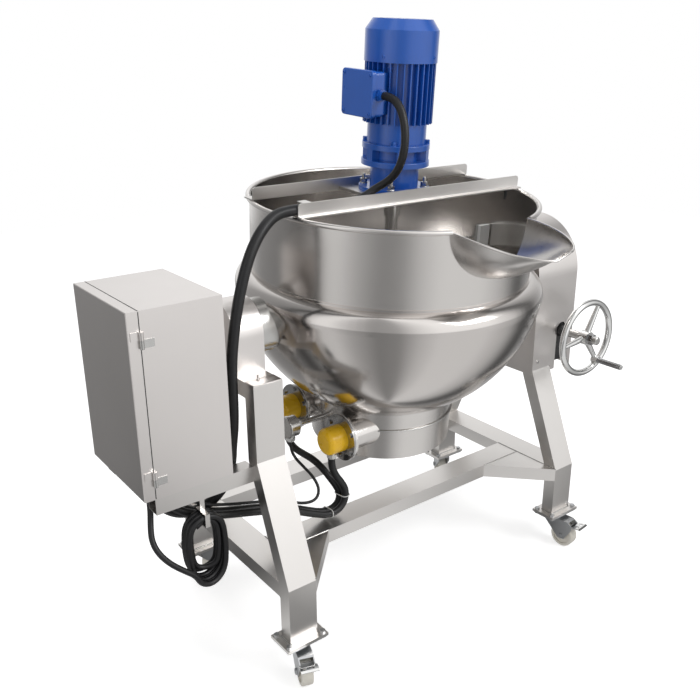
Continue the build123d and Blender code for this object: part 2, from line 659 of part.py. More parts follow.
SOCKET_FLANGE = FLANGE_RADIUS - 2.0
with BuildPart() as heating_chamber:
    with BuildSketch(Plane.XY.offset(CHAMBER_BOTTOM_Z)):
        Circle(CHAMBER_RADIUS)
    extrude(amount=JACKET_CENTRE_Z - JACKET_RADIUS + 80 - CHAMBER_BOTTOM_Z)
    with BuildSketch(Plane.YZ.offset(SOCKET_END_X)):
        with GridLocations(2 * HEATER_Y, 0, 2, 1):
            with Locations((0, HEATER_Z)):
                Circle(SOCKET_RADIUS)
    extrude(amount=-SOCKET_END_X - CHAMBER_RADIUS / 2)
    with BuildSketch(Plane.YZ.offset(SOCKET_END_X)):
        with GridLocations(2 * HEATER_Y, 0, 2, 1):
            with Locations((0, HEATER_Z)):
                Circle(SOCKET_FLANGE)
    extrude(amount=FLANGE_THICK)
    with BuildSketch(Plane.XY.offset(CHAMBER_BOTTOM_Z + CHAMBER_WALL)):
        Circle(CHAMBER_RADIUS - CHAMBER_WALL)
    extrude(amount=200.0, mode=Mode.SUBTRACT)
    with BuildSketch(Plane.YZ.offset(SOCKET_END_X)):
        with GridLocations(2 * HEATER_Y, 0, 2, 1):
            with Locations((0, HEATER_Z)):
                Circle(SOCKET_RADIUS - CHAMBER_WALL)
    extrude(amount=-SOCKET_END_X - CHAMBER_RADIUS / 2, mode=Mode.SUBTRACT)
    with BuildSketch(Plane.YZ.offset(-CHAMBER_RADIUS - 5)):
        with Locations((0, PROBE_Z)):
            Circle(8.0)
    extrude(amount=20.0, mode=Mode.SUBTRACT)
    add(jacket_body.part, mode=Mode.SUBTRACT)
write(heating_chamber, "heating_chamber", TILTED)

HUB_END_X = LEG_INNER_X - SEAT_GAP - SHEET - 1.7
TRUNNION_END_LEFT = LEG_OUTER_X - SHEET - 6
TRUNNION_END_RIGHT = GEAR_X + GEAR_WIDTH / 2 + 12
for end, name, shaft_end in (
    (-1, "left_trunnion", TRUNNION_END_LEFT),
    (1, "right_trunnion", TRUNNION_END_RIGHT),
):
    with BuildPart() as trunnion:
        with BuildSketch(Plane.YZ.offset(end * (JACKET_RADIUS - 60))):
            with Locations((0, AXIS_Z)):
                Circle(HUB_RADIUS)
        extrude(amount=end * (HUB_END_X - JACKET_RADIUS + 60))
        with BuildSketch(Plane.YZ.offset(end * (HUB_END_X - 10))):
            with Locations((0, AXIS_Z)):
                Circle(TRUNNION_RADIUS)
        extrude(amount=end * (shaft_end - HUB_END_X + 10))
        add(jacket_body.part, mode=Mode.SUBTRACT)
    write(trunnion, name, TILTED)

# ======================= crossbars and drive on top =======================

BAR_SHEET = 3.0
PLATE_HALF_X = 105.0
MOTOR_PLATE_THICK = 8.0
with BuildPart() as crossbars:
    for side in (-1, 1):
        with BuildSketch(Plane.YZ.offset(-BAR_HALF_LENGTH)):
            with Locations((side * BAR_Y, BEAD_TOP_Z + BAR_HEIGHT / 2)):
                Rectangle(BAR_WIDTH, BAR_HEIGHT)
            with Locations((side * BAR_Y, BEAD_TOP_Z + (BAR_HEIGHT - BAR_SHEET) / 2)):
                Rectangle(BAR_WIDTH - 2 * BAR_SHEET, BAR_HEIGHT - BAR_SHEET, mode=Mode.SUBTRACT)
        extrude(amount=2 * BAR_HALF_LENGTH)
write(crossbars, "crossbars", TILTED)

plate_half_y = BAR_Y - BAR_WIDTH / 2
with BuildPart() as motor_plate:
    with BuildSketch(Plane.XY.offset(MOTOR_BASE_Z - MOTOR_PLATE_THICK)):
        with Locations((MOTOR_X, 0)):
            Rectangle(2 * PLATE_HALF_X, 2 * plate_half_y)
        with Locations((MOTOR_X, MOTOR_Y)):
            Circle(26.0, mode=Mode.SUBTRACT)
    extrude(amount=MOTOR_PLATE_THICK)
write(motor_plate, "motor_plate", TILTED)

FOOT_FLANGE = 92.0
RING_THICK = 14.0
with BuildPart() as reducer:
    with BuildSketch(Plane.XY.offset(MOTOR_BASE_Z)):
        with Locations((MOTOR_X, MOTOR_Y)):
            Circle(FOOT_FLANGE)
            with PolarLocations(FOOT_FLANGE - 12, 4, 45):
                Circle(5.0, mode=Mode.SUBTRACT)
    extrude(amount=12.0)
    with BuildSketch(Plane.XY.offset(MOTOR_BASE_Z)):
        with Locations((MOTOR_X, MOTOR_Y)):
            Circle(REDUCER_RADIUS)
    extrude(amount=RING_Z0 - MOTOR_BASE_Z)
    with BuildSketch(Plane.XY.offset(RING_Z0)):
        with Locations((MOTOR_X, MOTOR_Y)):
            Circle(REDUCER_FLANGE)
    extrude(amount=RING_THICK)
    fillet(reducer.edges().filter_by(GeomType.CIRCLE).group_by(Axis.Z)[-1], 2.0)
    with BuildSketch(Plane.XY.offset(MOTOR_BASE_Z)):
        with Locations((MOTOR_X, MOTOR_Y)):
            Circle(SHAFT_RADIUS + RUN_FIT)
    extrude(amount=40.0, mode=Mode.SUBTRACT)
write(reducer, "reducer", TILTED)

with BuildPart() as motor_adapter:
    with BuildSketch(Plane.XY.offset(RING_Z0 + RING_THICK)):
        with Locations((MOTOR_X, MOTOR_Y)):
            Circle(REDUCER_RADIUS)
            with PolarLocations(REDUCER_RADIUS + 8, 6):
                Rectangle(30.0, 22.0)
    extrude(amount=RING_Z1 - RING_Z0 - 2 * RING_THICK)
    with BuildSketch(Plane.XY.offset(RING_Z1 - RING_THICK)):
        with Locations((MOTOR_X, MOTOR_Y)):
            Circle(REDUCER_FLANGE - 1)
    extrude(amount=RING_THICK)
    fillet(motor_adapter.edges().filter_by(GeomType.CIRCLE).group_by(Axis.Z)[-1], 2.0)
write(motor_adapter, "motor_adapter", TILTED)

STATOR_CORE = 74.0
FIN_THICK = 3.0
BOX_PAD_X = 98.0  # face of the stator's pad from the motor's axis
with BuildPart() as motor_stator:
    with BuildSketch(Plane.XY.offset(RING_Z1)):
        with Locations((MOTOR_X, MOTOR_Y)):
            Circle(STATOR_CORE + 2)
    extrude(amount=STATOR_Z0 - RING_Z1)
    with BuildSketch(Plane.XY.offset(STATOR_Z0)):
        with Locations((MOTOR_X, MOTOR_Y)):
            Circle(STATOR_CORE)
            with PolarLocations((STATOR_CORE + STATOR_RADIUS) / 2 - 1, FIN_COUNT):
                Rectangle(STATOR_RADIUS - STATOR_CORE + 2, FIN_THICK)
    extrude(amount=STATOR_Z1 - STATOR_Z0)
    with BuildSketch(Plane.YZ.offset(MOTOR_X - BOX_PAD_X)):
        with Locations((MOTOR_Y, (BOX_Z0 + BOX_Z1) / 2)):
            Rectangle(80.0, BOX_Z1 - BOX_Z0 - 12)
    extrude(amount=BOX_PAD_X - STATOR_CORE + 8)
write(motor_stator, "motor_stator", TILTED)

GRILLE_HOLE = 6.0
with BuildPart() as fan_cover:
    with BuildSketch(Plane.XZ):
        with BuildLine():
            Polyline(
                (STATOR_RADIUS + SEAT_GAP, COVER_Z0),
                (COVER_RADIUS, COVER_Z0),
                (COVER_RADIUS, COVER_TOP_Z - COVER_CHAMFER),
                (COVER_RADIUS - COVER_CHAMFER * 0.7, COVER_TOP_Z),
                (0, COVER_TOP_Z),
                (0, COVER_TOP_Z - SHEET),
                (COVER_RADIUS - COVER_CHAMFER * 0.7 - 1, COVER_TOP_Z - SHEET),
                (STATOR_RADIUS + SEAT_GAP, COVER_TOP_Z - COVER_CHAMFER - 1),
                close=True,
            )
        make_face()
    revolve(axis=Axis.Z)
    with BuildSketch(Plane.XY.offset(COVER_TOP_Z + 1)):
        for ring, count in ((18.0, 6), (36.0, 12), (54.0, 18)):
            with PolarLocations(ring, count):
                Circle(GRILLE_HOLE)
    extrude(amount=-3 * SHEET, mode=Mode.SUBTRACT)
write(fan_cover, "fan_cover", TILTED * Location((MOTOR_X, MOTOR_Y, 0)))

LID_THICK = 12.0
BOX_GLAND_X = -108.0
BOX_GLAND_Z = 1392.0
BOX_GLAND_DROP = 16.0  # beyond the box's side
with BuildPart() as terminal_box:
    with BuildSketch(Plane.YZ.offset(BOX_OUT_X + LID_THICK)):
        with Locations((MOTOR_Y, (BOX_Z0 + BOX_Z1) / 2)):
            RectangleRounded(2 * BOX_HALF_Y - 6, BOX_Z1 - BOX_Z0 - 6, 8)
    extrude(amount=MOTOR_X - BOX_PAD_X - BOX_OUT_X - LID_THICK)
    with BuildSketch(Plane.XZ.offset(BOX_HALF_Y - 5)):
        with Locations((BOX_GLAND_X, BOX_GLAND_Z)):
            Circle(GLAND_RADIUS)
    extrude(amount=BOX_GLAND_DROP + 2)
    with BuildSketch(Plane.XZ.offset(BOX_HALF_Y - 3)):
        with Locations((BOX_GLAND_X, BOX_GLAND_Z)):
            RegularPolygon(GLAND_RADIUS + 3, 6)
    extrude(amount=9.0)
write(terminal_box, "terminal_box", TILTED)

with BuildPart() as terminal_lid:
    with BuildSketch(Plane.YZ.offset(BOX_OUT_X)):
        with Locations((MOTOR_Y, (BOX_Z0 + BOX_Z1) / 2)):
            RectangleRounded(2 * BOX_HALF_Y, BOX_Z1 - BOX_Z0, 10)
    extrude(amount=LID_THICK)
    fillet(terminal_lid.edges().group_by(Axis.X)[0], 3.0)
write(terminal_lid, "terminal_lid", TILTED)

# ======================= agitator =======================

ANCHOR_THICK = 12.0
ARM_TOP_Z = 1010.0
TIE_Z = 965.0
SHAFT_TOP_Z = MOTOR_BASE_Z + 38.0
with BuildPart() as agitator_shaft:
    with BuildSketch(Plane.XY.offset(BOWL_STRAIGHT_Z - AGITATOR_RADIUS + AGITATOR_BAR)):
        with Locations((MOTOR_X, MOTOR_Y)):
            Circle(SHAFT_RADIUS)
    extrude(amount=SHAFT_TOP_Z - BOWL_STRAIGHT_Z + AGITATOR_RADIUS - AGITATOR_BAR)
    with BuildSketch(Plane.XY.offset(1076.0)):
        with Locations((MOTOR_X, MOTOR_Y)):
            Circle(22.0)
    extrude(amount=56.0)
write(agitator_shaft, "agitator_shaft", TILTED)

ANCHOR_INNER = AGITATOR_RADIUS - AGITATOR_BAR
BOSS_RADIUS = 27.0
with BuildPart() as agitator_anchor:
    with BuildSketch(Plane.XZ):
        with Locations((0, BOWL_STRAIGHT_Z)):
            Circle(AGITATOR_RADIUS)
            Circle(ANCHOR_INNER, mode=Mode.SUBTRACT)
            Rectangle(
                2 * AGITATOR_RADIUS,
                AGITATOR_RADIUS,
                align=(Align.CENTER, Align.MIN),
                mode=Mode.SUBTRACT,
            )
        for side in (-1, 1):
            with Locations((side * (AGITATOR_RADIUS + ANCHOR_INNER) / 2, (BOWL_STRAIGHT_Z + ARM_TOP_Z) / 2)):
                Rectangle(AGITATOR_BAR, ARM_TOP_Z - BOWL_STRAIGHT_Z)
        with Locations((0, TIE_Z)):
            Rectangle(2 * ANCHOR_INNER + 4, 22.0)
    extrude(amount=ANCHOR_THICK / 2, both=True)
    for low, high in (
        (TIE_Z - 24, TIE_Z + 24),
        (BOWL_STRAIGHT_Z - ANCHOR_INNER - 8, BOWL_STRAIGHT_Z - ANCHOR_INNER + 50),
    ):
        with BuildSketch(Plane.XY.offset(low)):
            Circle(BOSS_RADIUS)
        extrude(amount=high - low)
    add(agitator_shaft.part, mode=Mode.SUBTRACT)
write(agitator_anchor, "agitator_anchor", TILTED)

SCRAPER_LENGTH = 66.0
SCRAPER_THICK = 10.0
SCRAPER_ANGLES = (-14, -36, -58, -80, -122, -144, -166)
SCRAPER_INNER = ANCHOR_INNER + 8
with BuildPart() as scrapers:
    with BuildSketch(Plane.XZ.offset(ANCHOR_THICK / 2)):
        with Locations((0, BOWL_STRAIGHT_Z)):
            for angle in SCRAPER_ANGLES:
                with PolarLocations((SCRAPER_INNER + SCRAPER_RADIUS) / 2, 1, angle):
                    Rectangle(SCRAPER_RADIUS - SCRAPER_INNER, SCRAPER_LENGTH)
            Circle(SCRAPER_RADIUS, mode=Mode.INTERSECT)
        for side in (-1, 1):
            with Locations((side * (SCRAPER_INNER + SCRAPER_RADIUS) / 2, TIE_Z + 10)):
                Rectangle(SCRAPER_RADIUS - SCRAPER_INNER, SCRAPER_LENGTH)
    extrude(amount=SCRAPER_THICK)
write(scrapers, "scrapers", TILTED)

# ======================= heating elements and probe =======================

GASKET_X = SOCKET_END_X - GASKET_THICK
FLANGE_X = GASKET_X - FLANGE_THICK
CAP_X = FLANGE_X - CAP_LENGTH
ELEMENT_SPREAD = 16.0
ELEMENT_RADIUS = 6.0
ELEMENT_END_X = 105.0
GLAND_X = FLANGE_X - 26.0
GLAND_Z = HEATER_Z - CAP_RADIUS - 16.0
FLANGE_BOLTS = 6
with BuildPart() as heater_elements:
    with BuildSketch(Plane.YZ.offset(FLANGE_X)):
        with Locations((-HEATER_Y, HEATER_Z), (HEATER_Y, HEATER_Z)):
            Circle(FLANGE_RADIUS)
    extrude(amount=FLANGE_THICK)
    with BuildSketch(Plane.YZ.offset(GASKET_X)):
        with Locations((-HEATER_Y, HEATER_Z), (HEATER_Y, HEATER_Z)):
            Circle(FLANGE_RADIUS - 1.0)
    extrude(amount=GASKET_THICK)
    with BuildSketch(Plane.YZ.offset(FLANGE_X)):
        with Locations((-HEATER_Y, HEATER_Z), (HEATER_Y, HEATER_Z)):
            with PolarLocations(FLANGE_RADIUS - 11, FLANGE_BOLTS, 30):
                RegularPolygon(7.0, 6)
    extrude(amount=-5.0)
    for side in (-1, 1):
        for lift in (-ELEMENT_SPREAD, ELEMENT_SPREAD):
            with BuildSketch(Plane.YZ.offset(GASKET_X)):
                with Locations(
                    (side * HEATER_Y - ELEMENT_SPREAD, HEATER_Z + lift),
                    (side * HEATER_Y + ELEMENT_SPREAD, HEATER_Z + lift),
                ):
                    Circle(ELEMENT_RADIUS)
            extrude(amount=ELEMENT_END_X - GASKET_X)
            bend_centre = (ELEMENT_END_X, side * HEATER_Y, HEATER_Z + lift)
            with BuildSketch(Plane.YZ.offset(ELEMENT_END_X)):
                with Locations((side * HEATER_Y - ELEMENT_SPREAD, HEATER_Z + lift)):
                    Circle(ELEMENT_RADIUS)
            revolve(axis=Axis(bend_centre, (0, 0, 1)), revolution_arc=180)
write(heater_elements, "heater_elements", TILTED)

CAP_WALL = 3.0
with BuildPart() as heater_caps:
    with BuildSketch(Plane.YZ.offset(CAP_X)):
        with Locations((-HEATER_Y, HEATER_Z), (HEATER_Y, HEATER_Z)):
            Circle(CAP_RADIUS)
    extrude(amount=CAP_LENGTH)
    fillet(heater_caps.edges().group_by(Axis.X)[0], 14.0)
    with BuildSketch(Plane.XY.offset(GLAND_Z)):
        with Locations((GLAND_X, -HEATER_Y), (GLAND_X, HEATER_Y)):
            Circle(GLAND_RADIUS)
    extrude(amount=HEATER_Z - GLAND_Z)
    with BuildSketch(Plane.XY.offset(GLAND_Z + 4)):
        with Locations((GLAND_X, -HEATER_Y), (GLAND_X, HEATER_Y)):
            RegularPolygon(GLAND_RADIUS + 3, 6)
    extrude(amount=9.0)
    with BuildSketch(Plane.YZ.offset(FLANGE_X)):
        with Locations((-HEATER_Y, HEATER_Z), (HEATER_Y, HEATER_Z)):
            Circle(CAP_RADIUS - CAP_WALL - 8)
    extrude(amount=-(CAP_LENGTH - 2 * CAP_WALL), mode=Mode.SUBTRACT)
write(heater_caps, "heater_caps", TILTED)

PROBE_HEAD_X = PROBE_X - 30.0
PROBE_GLAND_X = PROBE_X - 14.0
PROBE_GLAND_Z = PROBE_Z - PROBE_RADIUS - 14.0
with BuildPart() as temperature_probe:
    with BuildSketch(Plane.YZ.offset(PROBE_HEAD_X)):
        with Locations((0, PROBE_Z)):
            Circle(PROBE_RADIUS + 2)
    extrude(amount=9.0)
    fillet(temperature_probe.edges().group_by(Axis.X)[0], 3.0)
    with BuildSketch(Plane.YZ.offset(PROBE_HEAD_X + 9)):
        with Locations((0, PROBE_Z)):
            Circle(PROBE_RADIUS)
    extrude(amount=21.0)
    with BuildSketch(Plane.YZ.offset(PROBE_X)):
        with Locations((0, PROBE_Z)):
            RegularPolygon(14.0, 6)
    extrude(amount=16.0)
    with BuildSketch(Plane.YZ.offset(PROBE_X + 16)):
        with Locations((0, PROBE_Z)):
            Circle(8.0)
    extrude(amount=-PROBE_X - 16 - 120)
    with BuildSketch(Plane.XY.offset(PROBE_GLAND_Z)):
        with Locations((PROBE_GLAND_X, 0)):
            Circle(GLAND_RADIUS)
    extrude(amount=PROBE_Z - PROBE_GLAND_Z)
    with BuildSketch(Plane.XY.offset(PROBE_GLAND_Z + 3)):
        with Locations((PROBE_GLAND_X, 0)):
            RegularPolygon(GLAND_RADIUS + 3, 6)
    extrude(amount=8.0)
write(temperature_probe, "temperature_probe", TILTED)

# ======================= casters =======================

RACE_RADIUS = 23.0
CROWN_Z = 90.0
RACE_Z = 97.0
PIN_FOOT_Z = 82.0
NUT_ACROSS = 7.5
with BuildPart() as caster_plates:
    with BuildSketch(Plane.XY.offset(CASTER_HEIGHT - CASTER_PLATE_THICK)):
        with GridLocations(2 * LEG_X, 2 * FOOT_Y, 2, 2):
            RectangleRounded(FOOT_PLATE_LENGTH - 3, FOOT_PLATE_WIDTH - 3, 6)
    extrude(amount=CASTER_PLATE_THICK)
    with BuildSketch(Plane.XY.offset(RACE_Z + SEAT_GAP)):
        with GridLocations(2 * LEG_X, 2 * FOOT_Y, 2, 2):
            Circle(RACE_RADIUS)
    extrude(amount=CASTER_HEIGHT - CASTER_PLATE_THICK - RACE_Z - SEAT_GAP)
    with BuildSketch(Plane.XY.offset(PIN_FOOT_Z)):
        with GridLocations(2 * LEG_X, 2 * FOOT_Y, 2, 2):
            Circle(KINGPIN_RADIUS)
    extrude(amount=RACE_Z + 1 - PIN_FOOT_Z)
    with BuildSketch(Plane.XY.offset(PIN_FOOT_Z)):
        with GridLocations(2 * LEG_X, 2 * FOOT_Y, 2, 2):
            RegularPolygon(10.0, 6)
    extrude(amount=CROWN_Z - SEAT_GAP - PIN_FOOT_Z)
    for low, high, shape in ((101.0, 104.0, "hex"), (104.0, 118.0, "shank"), (LEG_FOOT_Z, 121.0, "hex")):
        with BuildSketch(Plane.XY.offset(low)):
            with GridLocations(2 * LEG_X, 2 * FOOT_Y, 2, 2):
                with GridLocations(2 * CASTER_BOLT_X, 2 * CASTER_BOLT_Y, 2, 2):
                    if shape == "hex":
                        RegularPolygon(NUT_ACROSS, 6)
                    else:
                        Circle(CASTER_BOLT_RADIUS)
        extrude(amount=high - low)
write(caster_plates, "caster_plates")

FORK_SIDE = WHEEL_WIDTH / 2 + FORK_GAP  # inner face of a fork plate
PEDAL_ALONG = TRAIL + 25.0
PEDAL_Z = 75.0
for name, (end, side, heading) in CASTER_TURNS.items():
    corner = MACHINE * Location((end * LEG_X, side * FOOT_Y, 0)) * Location((0, 0, 0), (0, 0, heading))
    braked = name in BRAKED
    with BuildPart() as fork:
        with BuildSketch(Plane.XZ.offset(-FORK_SIDE - FORK_PLATE)):
            with BuildLine():
                if braked:
                    Polyline(
                        (-22, CROWN_Z + FORK_PLATE),
                        (58, CROWN_Z + FORK_PLATE),
                        (74, 82),
                        (74, 68),
                        (TRAIL + 11, WHEEL_RADIUS - 9),
                        (TRAIL - 11, WHEEL_RADIUS - 9),
                        (-22, 80),
                        close=True,
                    )
                else:
                    Polyline(
                        (-22, CROWN_Z + FORK_PLATE),
                        (34, CROWN_Z + FORK_PLATE),
                        (TRAIL + 12, 62),
                        (TRAIL + 11, WHEEL_RADIUS - 9),
                        (TRAIL - 11, WHEEL_RADIUS - 9),
                        (-22, 80),
                        close=True,
                    )
            make_face()
        extrude(amount=2 * (FORK_SIDE + FORK_PLATE))
        with BuildSketch(Plane.XZ.offset(-FORK_SIDE)):
            with Locations((0, 0)):
                Rectangle(400, 2 * CROWN_Z)
        extrude(amount=2 * FORK_SIDE, mode=Mode.SUBTRACT)
        with BuildSketch(Plane.XY.offset(CROWN_Z + FORK_PLATE)):
            Circle(RACE_RADIUS - 2)
        extrude(amount=RACE_Z - CROWN_Z - FORK_PLATE)
        with BuildSketch(Plane.XY.offset(CROWN_Z - 1)):
            Circle(KINGPIN_RADIUS + RUN_FIT)
        extrude(amount=RACE_Z - CROWN_Z + 2, mode=Mode.SUBTRACT)
        with BuildSketch(Plane.XZ.offset(-FORK_SIDE - FORK_PLATE - 5)):
            with Locations((TRAIL, WHEEL_RADIUS)):
                Circle(AXLE_RADIUS)
        extrude(amount=2 * (FORK_SIDE + FORK_PLATE + 5))
        for across in (-1, 1):
            with BuildSketch(Plane.XZ.offset(across * (FORK_SIDE + FORK_PLATE))):
                with Locations((TRAIL, WHEEL_RADIUS)):
                    RegularPolygon(8.5, 6)
            extrude(amount=across * 4.0)
        if braked:
            with BuildSketch(Plane.XZ.offset(-FORK_SIDE - 1)):
                with Locations((PEDAL_ALONG, PEDAL_Z)):
                    Circle(PEDAL_PIN_RADIUS)
            extrude(amount=2 * (FORK_SIDE + 1))
    write(fork, f"fork_{name}", corner)

    with BuildPart() as wheel:
        with BuildSketch(Plane.XZ):
            with Locations((TRAIL, WHEEL_RADIUS)):
                Circle(WHEEL_RADIUS)
                Circle(AXLE_RADIUS + RUN_FIT, mode=Mode.SUBTRACT)
        extrude(amount=WHEEL_WIDTH / 2, both=True)
        rims = wheel.edges().filter_by(GeomType.CIRCLE).sort_by(SortBy.RADIUS)
        fillet(rims[-2:], 3.0)
        for across in (-1, 1):
            with BuildSketch(Plane.XZ.offset(across * (WHEEL_WIDTH / 2 - 5))):
                with Locations((TRAIL, WHEEL_RADIUS)):
                    Circle(WHEEL_RADIUS - 9)
                    Circle(13.0, mode=Mode.SUBTRACT)
            extrude(amount=across * 10.0, mode=Mode.SUBTRACT)
    write(wheel, f"wheel_{name}", corner)

    if braked:
        with BuildPart() as pedal:
            with BuildSketch(Plane.XZ):
                with Locations((PEDAL_ALONG, PEDAL_Z)):
                    Circle(PEDAL_PIN_RADIUS + 2.2)
                with BuildLine():
                    Polyline(
                        (PEDAL_ALONG + 1, PEDAL_Z + 1.5),
                        (PEDAL_ALONG + 1, PEDAL_Z + 4.5),
                        (PEDAL_ALONG + 16, PEDAL_Z + 8),
                        (PEDAL_ALONG + 16, PEDAL_Z + 5),
                        close=True,
                    )
                make_face()
            extrude(amount=FORK_SIDE - 0.8, both=True)
            with BuildSketch(Plane.XZ):
                with BuildLine():
                    Polyline(
                        (PEDAL_ALONG + 13, PEDAL_Z + 4.3),
                        (PEDAL_ALONG + 13, PEDAL_Z + 7.3),
                        (PEDAL_ALONG + 36, PEDAL_Z + 12.7),
                        (PEDAL_ALONG + 41, PEDAL_Z + 9.7),
                        (PEDAL_ALONG + 40, PEDAL_Z + 7.5),
                        (PEDAL_ALONG + 36, PEDAL_Z + 9.7),
                        close=True,
                    )
                make_face()
            extrude(amount=23.0, both=True)
            with BuildSketch(Plane.XY.offset(PEDAL_Z)):
                with Locations((PEDAL_ALONG + 26, -11), (PEDAL_ALONG + 26, 11)):
                    Circle(5.0)
            extrude(amount=20.0, mode=Mode.SUBTRACT)
            with BuildSketch(Plane.XZ):
                with Locations((PEDAL_ALONG, PEDAL_Z)):
                    Circle(PEDAL_PIN_RADIUS + RUN_FIT)
            extrude(amount=30.0, both=True, mode=Mode.SUBTRACT)
        write(pedal, f"brake_{name}", corner)

# ======================= control cabinet =======================

# The spare length of the power cable, coiled under the cabinet.
with BuildPart() as power_coil:
    with BuildSketch(Plane.XZ.offset(-COIL_Y - COIL_DEPTH / 2)):
        with Locations((COIL_X, COIL_Z)):
            SlotOverall(2 * COIL_HALF_Z, 2 * COIL_HALF_X, rotation=90)
            SlotOverall(
                2 * (COIL_HALF_Z - COIL_BUNDLE),
                2 * (COIL_HALF_X - COIL_BUNDLE),
                rotation=90,
                mode=Mode.SUBTRACT,
            )
    extrude(amount=COIL_DEPTH)
    fillet(power_coil.edges().group_by(Axis.Y)[0], 9.0)
    fillet(power_coil.edges().group_by(Axis.Y)[-1], 9.0)
write(power_coil, "power_coil")

SHELF_END_X = -LEG_OUTER_X
SHELF_START_X = CABINET_FRONT_X - 3.0
SHELF_WALL = 2.0
SHELF_MIDDLES = (CABINET_Y0 + SHELF_TUBE / 2, -CABINET_Y0 - SHELF_TUBE / 2)
with BuildPart() as cabinet_shelf:
    with BuildSketch(Plane.YZ.offset(SHELF_START_X)):
        for middle in SHELF_MIDDLES:
            with Locations((middle, CABINET_Z0 - SHELF_TUBE / 2)):
                Rectangle(SHELF_TUBE, SHELF_TUBE)
                Rectangle(
                    SHELF_TUBE - 2 * SHELF_WALL,
                    SHELF_TUBE - 2 * SHELF_WALL,
                    mode=Mode.SUBTRACT,
                )
    extrude(amount=SHELF_END_X - SHELF_START_X)
    for side in (-1, 1):
        with BuildSketch(Plane.YZ.offset(-LEG_X)):
            with BuildLine():
                Polyline(*leg_outline(side), close=True)
            make_face()
        extrude(amount=LEG_SIDE, both=True, mode=Mode.SUBTRACT)
    strap_top = COIL_Z + COIL_HALF_Z
    strap_half = COIL_DEPTH / 2 + STRAP_THICK
    with BuildSketch(Plane.YZ.offset(COIL_X - STRAP_WIDTH / 2)):
        with Locations((COIL_Y, strap_top - COIL_BUNDLE / 2)):
            Rectangle(2 * strap_half, COIL_BUNDLE + 2 * STRAP_THICK)
            Rectangle(COIL_DEPTH, COIL_BUNDLE, mode=Mode.SUBTRACT)
        with Locations((COIL_Y, (strap_top + CABINET_Z0 - SHELF_TUBE) / 2)):
            Rectangle(STRAP_THICK, CABINET_Z0 - SHELF_TUBE - strap_top)
    extrude(amount=STRAP_WIDTH)
    add(power_coil.part, mode=Mode.SUBTRACT)
write(cabinet_shelf, "cabinet_shelf")

TRUNK_GLAND = (-740.0, -4.0)
HEATER_GLANDS = ((-738.0, -74.0), (-738.0, -44.0))
PROBE_CABLE_GLAND = (-690.0, -73.0)
POWER_GLAND = (-768.0, -60.0)
FLOOR_GLAND_DROP = 18.0
BODY_DEPTH = CABINET_BACK_X - CABINET_FRONT_X
BODY_WIDTH = CABINET_Y1 - CABINET_Y0
BODY_HEIGHT = CABINET_Z1 - CABINET_Z0
BODY_MID_Y = (CABINET_Y0 + CABINET_Y1) / 2
BODY_MID_Z = (CABINET_Z0 + CABINET_Z1) / 2
LIP = 18.0
with BuildPart() as cabinet_body:
    with BuildSketch(Plane.YZ.offset(CABINET_FRONT_X)):
        with Locations((BODY_MID_Y, BODY_MID_Z)):
            Rectangle(BODY_WIDTH, BODY_HEIGHT)
    extrude(amount=BODY_DEPTH)
    with BuildSketch(Plane.YZ.offset(CABINET_FRONT_X + SHEET)):
        with Locations((BODY_MID_Y, BODY_MID_Z)):
            Rectangle(BODY_WIDTH - 2 * SHEET, BODY_HEIGHT - 2 * SHEET)
    extrude(amount=BODY_DEPTH - 2 * SHEET, mode=Mode.SUBTRACT)
    with BuildSketch(Plane.YZ.offset(CABINET_FRONT_X - 1)):
        with Locations((BODY_MID_Y, BODY_MID_Z)):
            Rectangle(BODY_WIDTH - 2 * LIP, BODY_HEIGHT - 2 * LIP)
    extrude(amount=2 * SHEET, mode=Mode.SUBTRACT)
    with BuildSketch(Plane.XY.offset(CABINET_Z0 - FLOOR_GLAND_DROP)):
        with Locations(TRUNK_GLAND):
            Circle(16.0)
        with Locations(*HEATER_GLANDS):
            Circle(13.0)
        with Locations(POWER_GLAND, PROBE_CABLE_GLAND):
            Circle(10.0)
    extrude(amount=FLOOR_GLAND_DROP + SHEET + 6)
write(cabinet_body, "cabinet_body")

GEAR_BACK_X = CABINET_BACK_X - SHEET
RAIL_LEVELS = (900.0, 780.0, 670.0)
with BuildPart() as control_gear:
    with BuildSketch(Plane.YZ.offset(GEAR_BACK_X - 12)):
        with Locations((BODY_MID_Y, BODY_MID_Z + 10)):
            Rectangle(BODY_WIDTH - 50, BODY_HEIGHT - 70)
    extrude(amount=2.0)
    for level in (BODY_MID_Z - 150, BODY_MID_Z + 170):
        with BuildSketch(Plane.YZ.offset(GEAR_BACK_X)):
            with Locations((BODY_MID_Y - 100, level), (BODY_MID_Y + 100, level)):
                Circle(6.0)
        extrude(amount=-12.0)
    for level in RAIL_LEVELS:
        with BuildSketch(Plane.YZ.offset(GEAR_BACK_X - 12)):
            with Locations((BODY_MID_Y, level)):
                Rectangle(BODY_WIDTH - 70, 35.0)
        extrude(amount=-7.0)
    for level, widths in ((900.0, (54, 54, 36, 36)), (780.0, (45, 45, 72)), (670.0, (90, 18, 18, 18, 18))):
        start = BODY_MID_Y - sum(widths) / 2 - 3 * (len(widths) - 1) / 2
        for width in widths:
            with BuildSketch(Plane.YZ.offset(GEAR_BACK_X - 19)):
                with Locations((start + width / 2, level)):
                    Rectangle(width, 78.0)
            extrude(amount=-62.0)
            start += width + 3
write(control_gear, "control_gear")

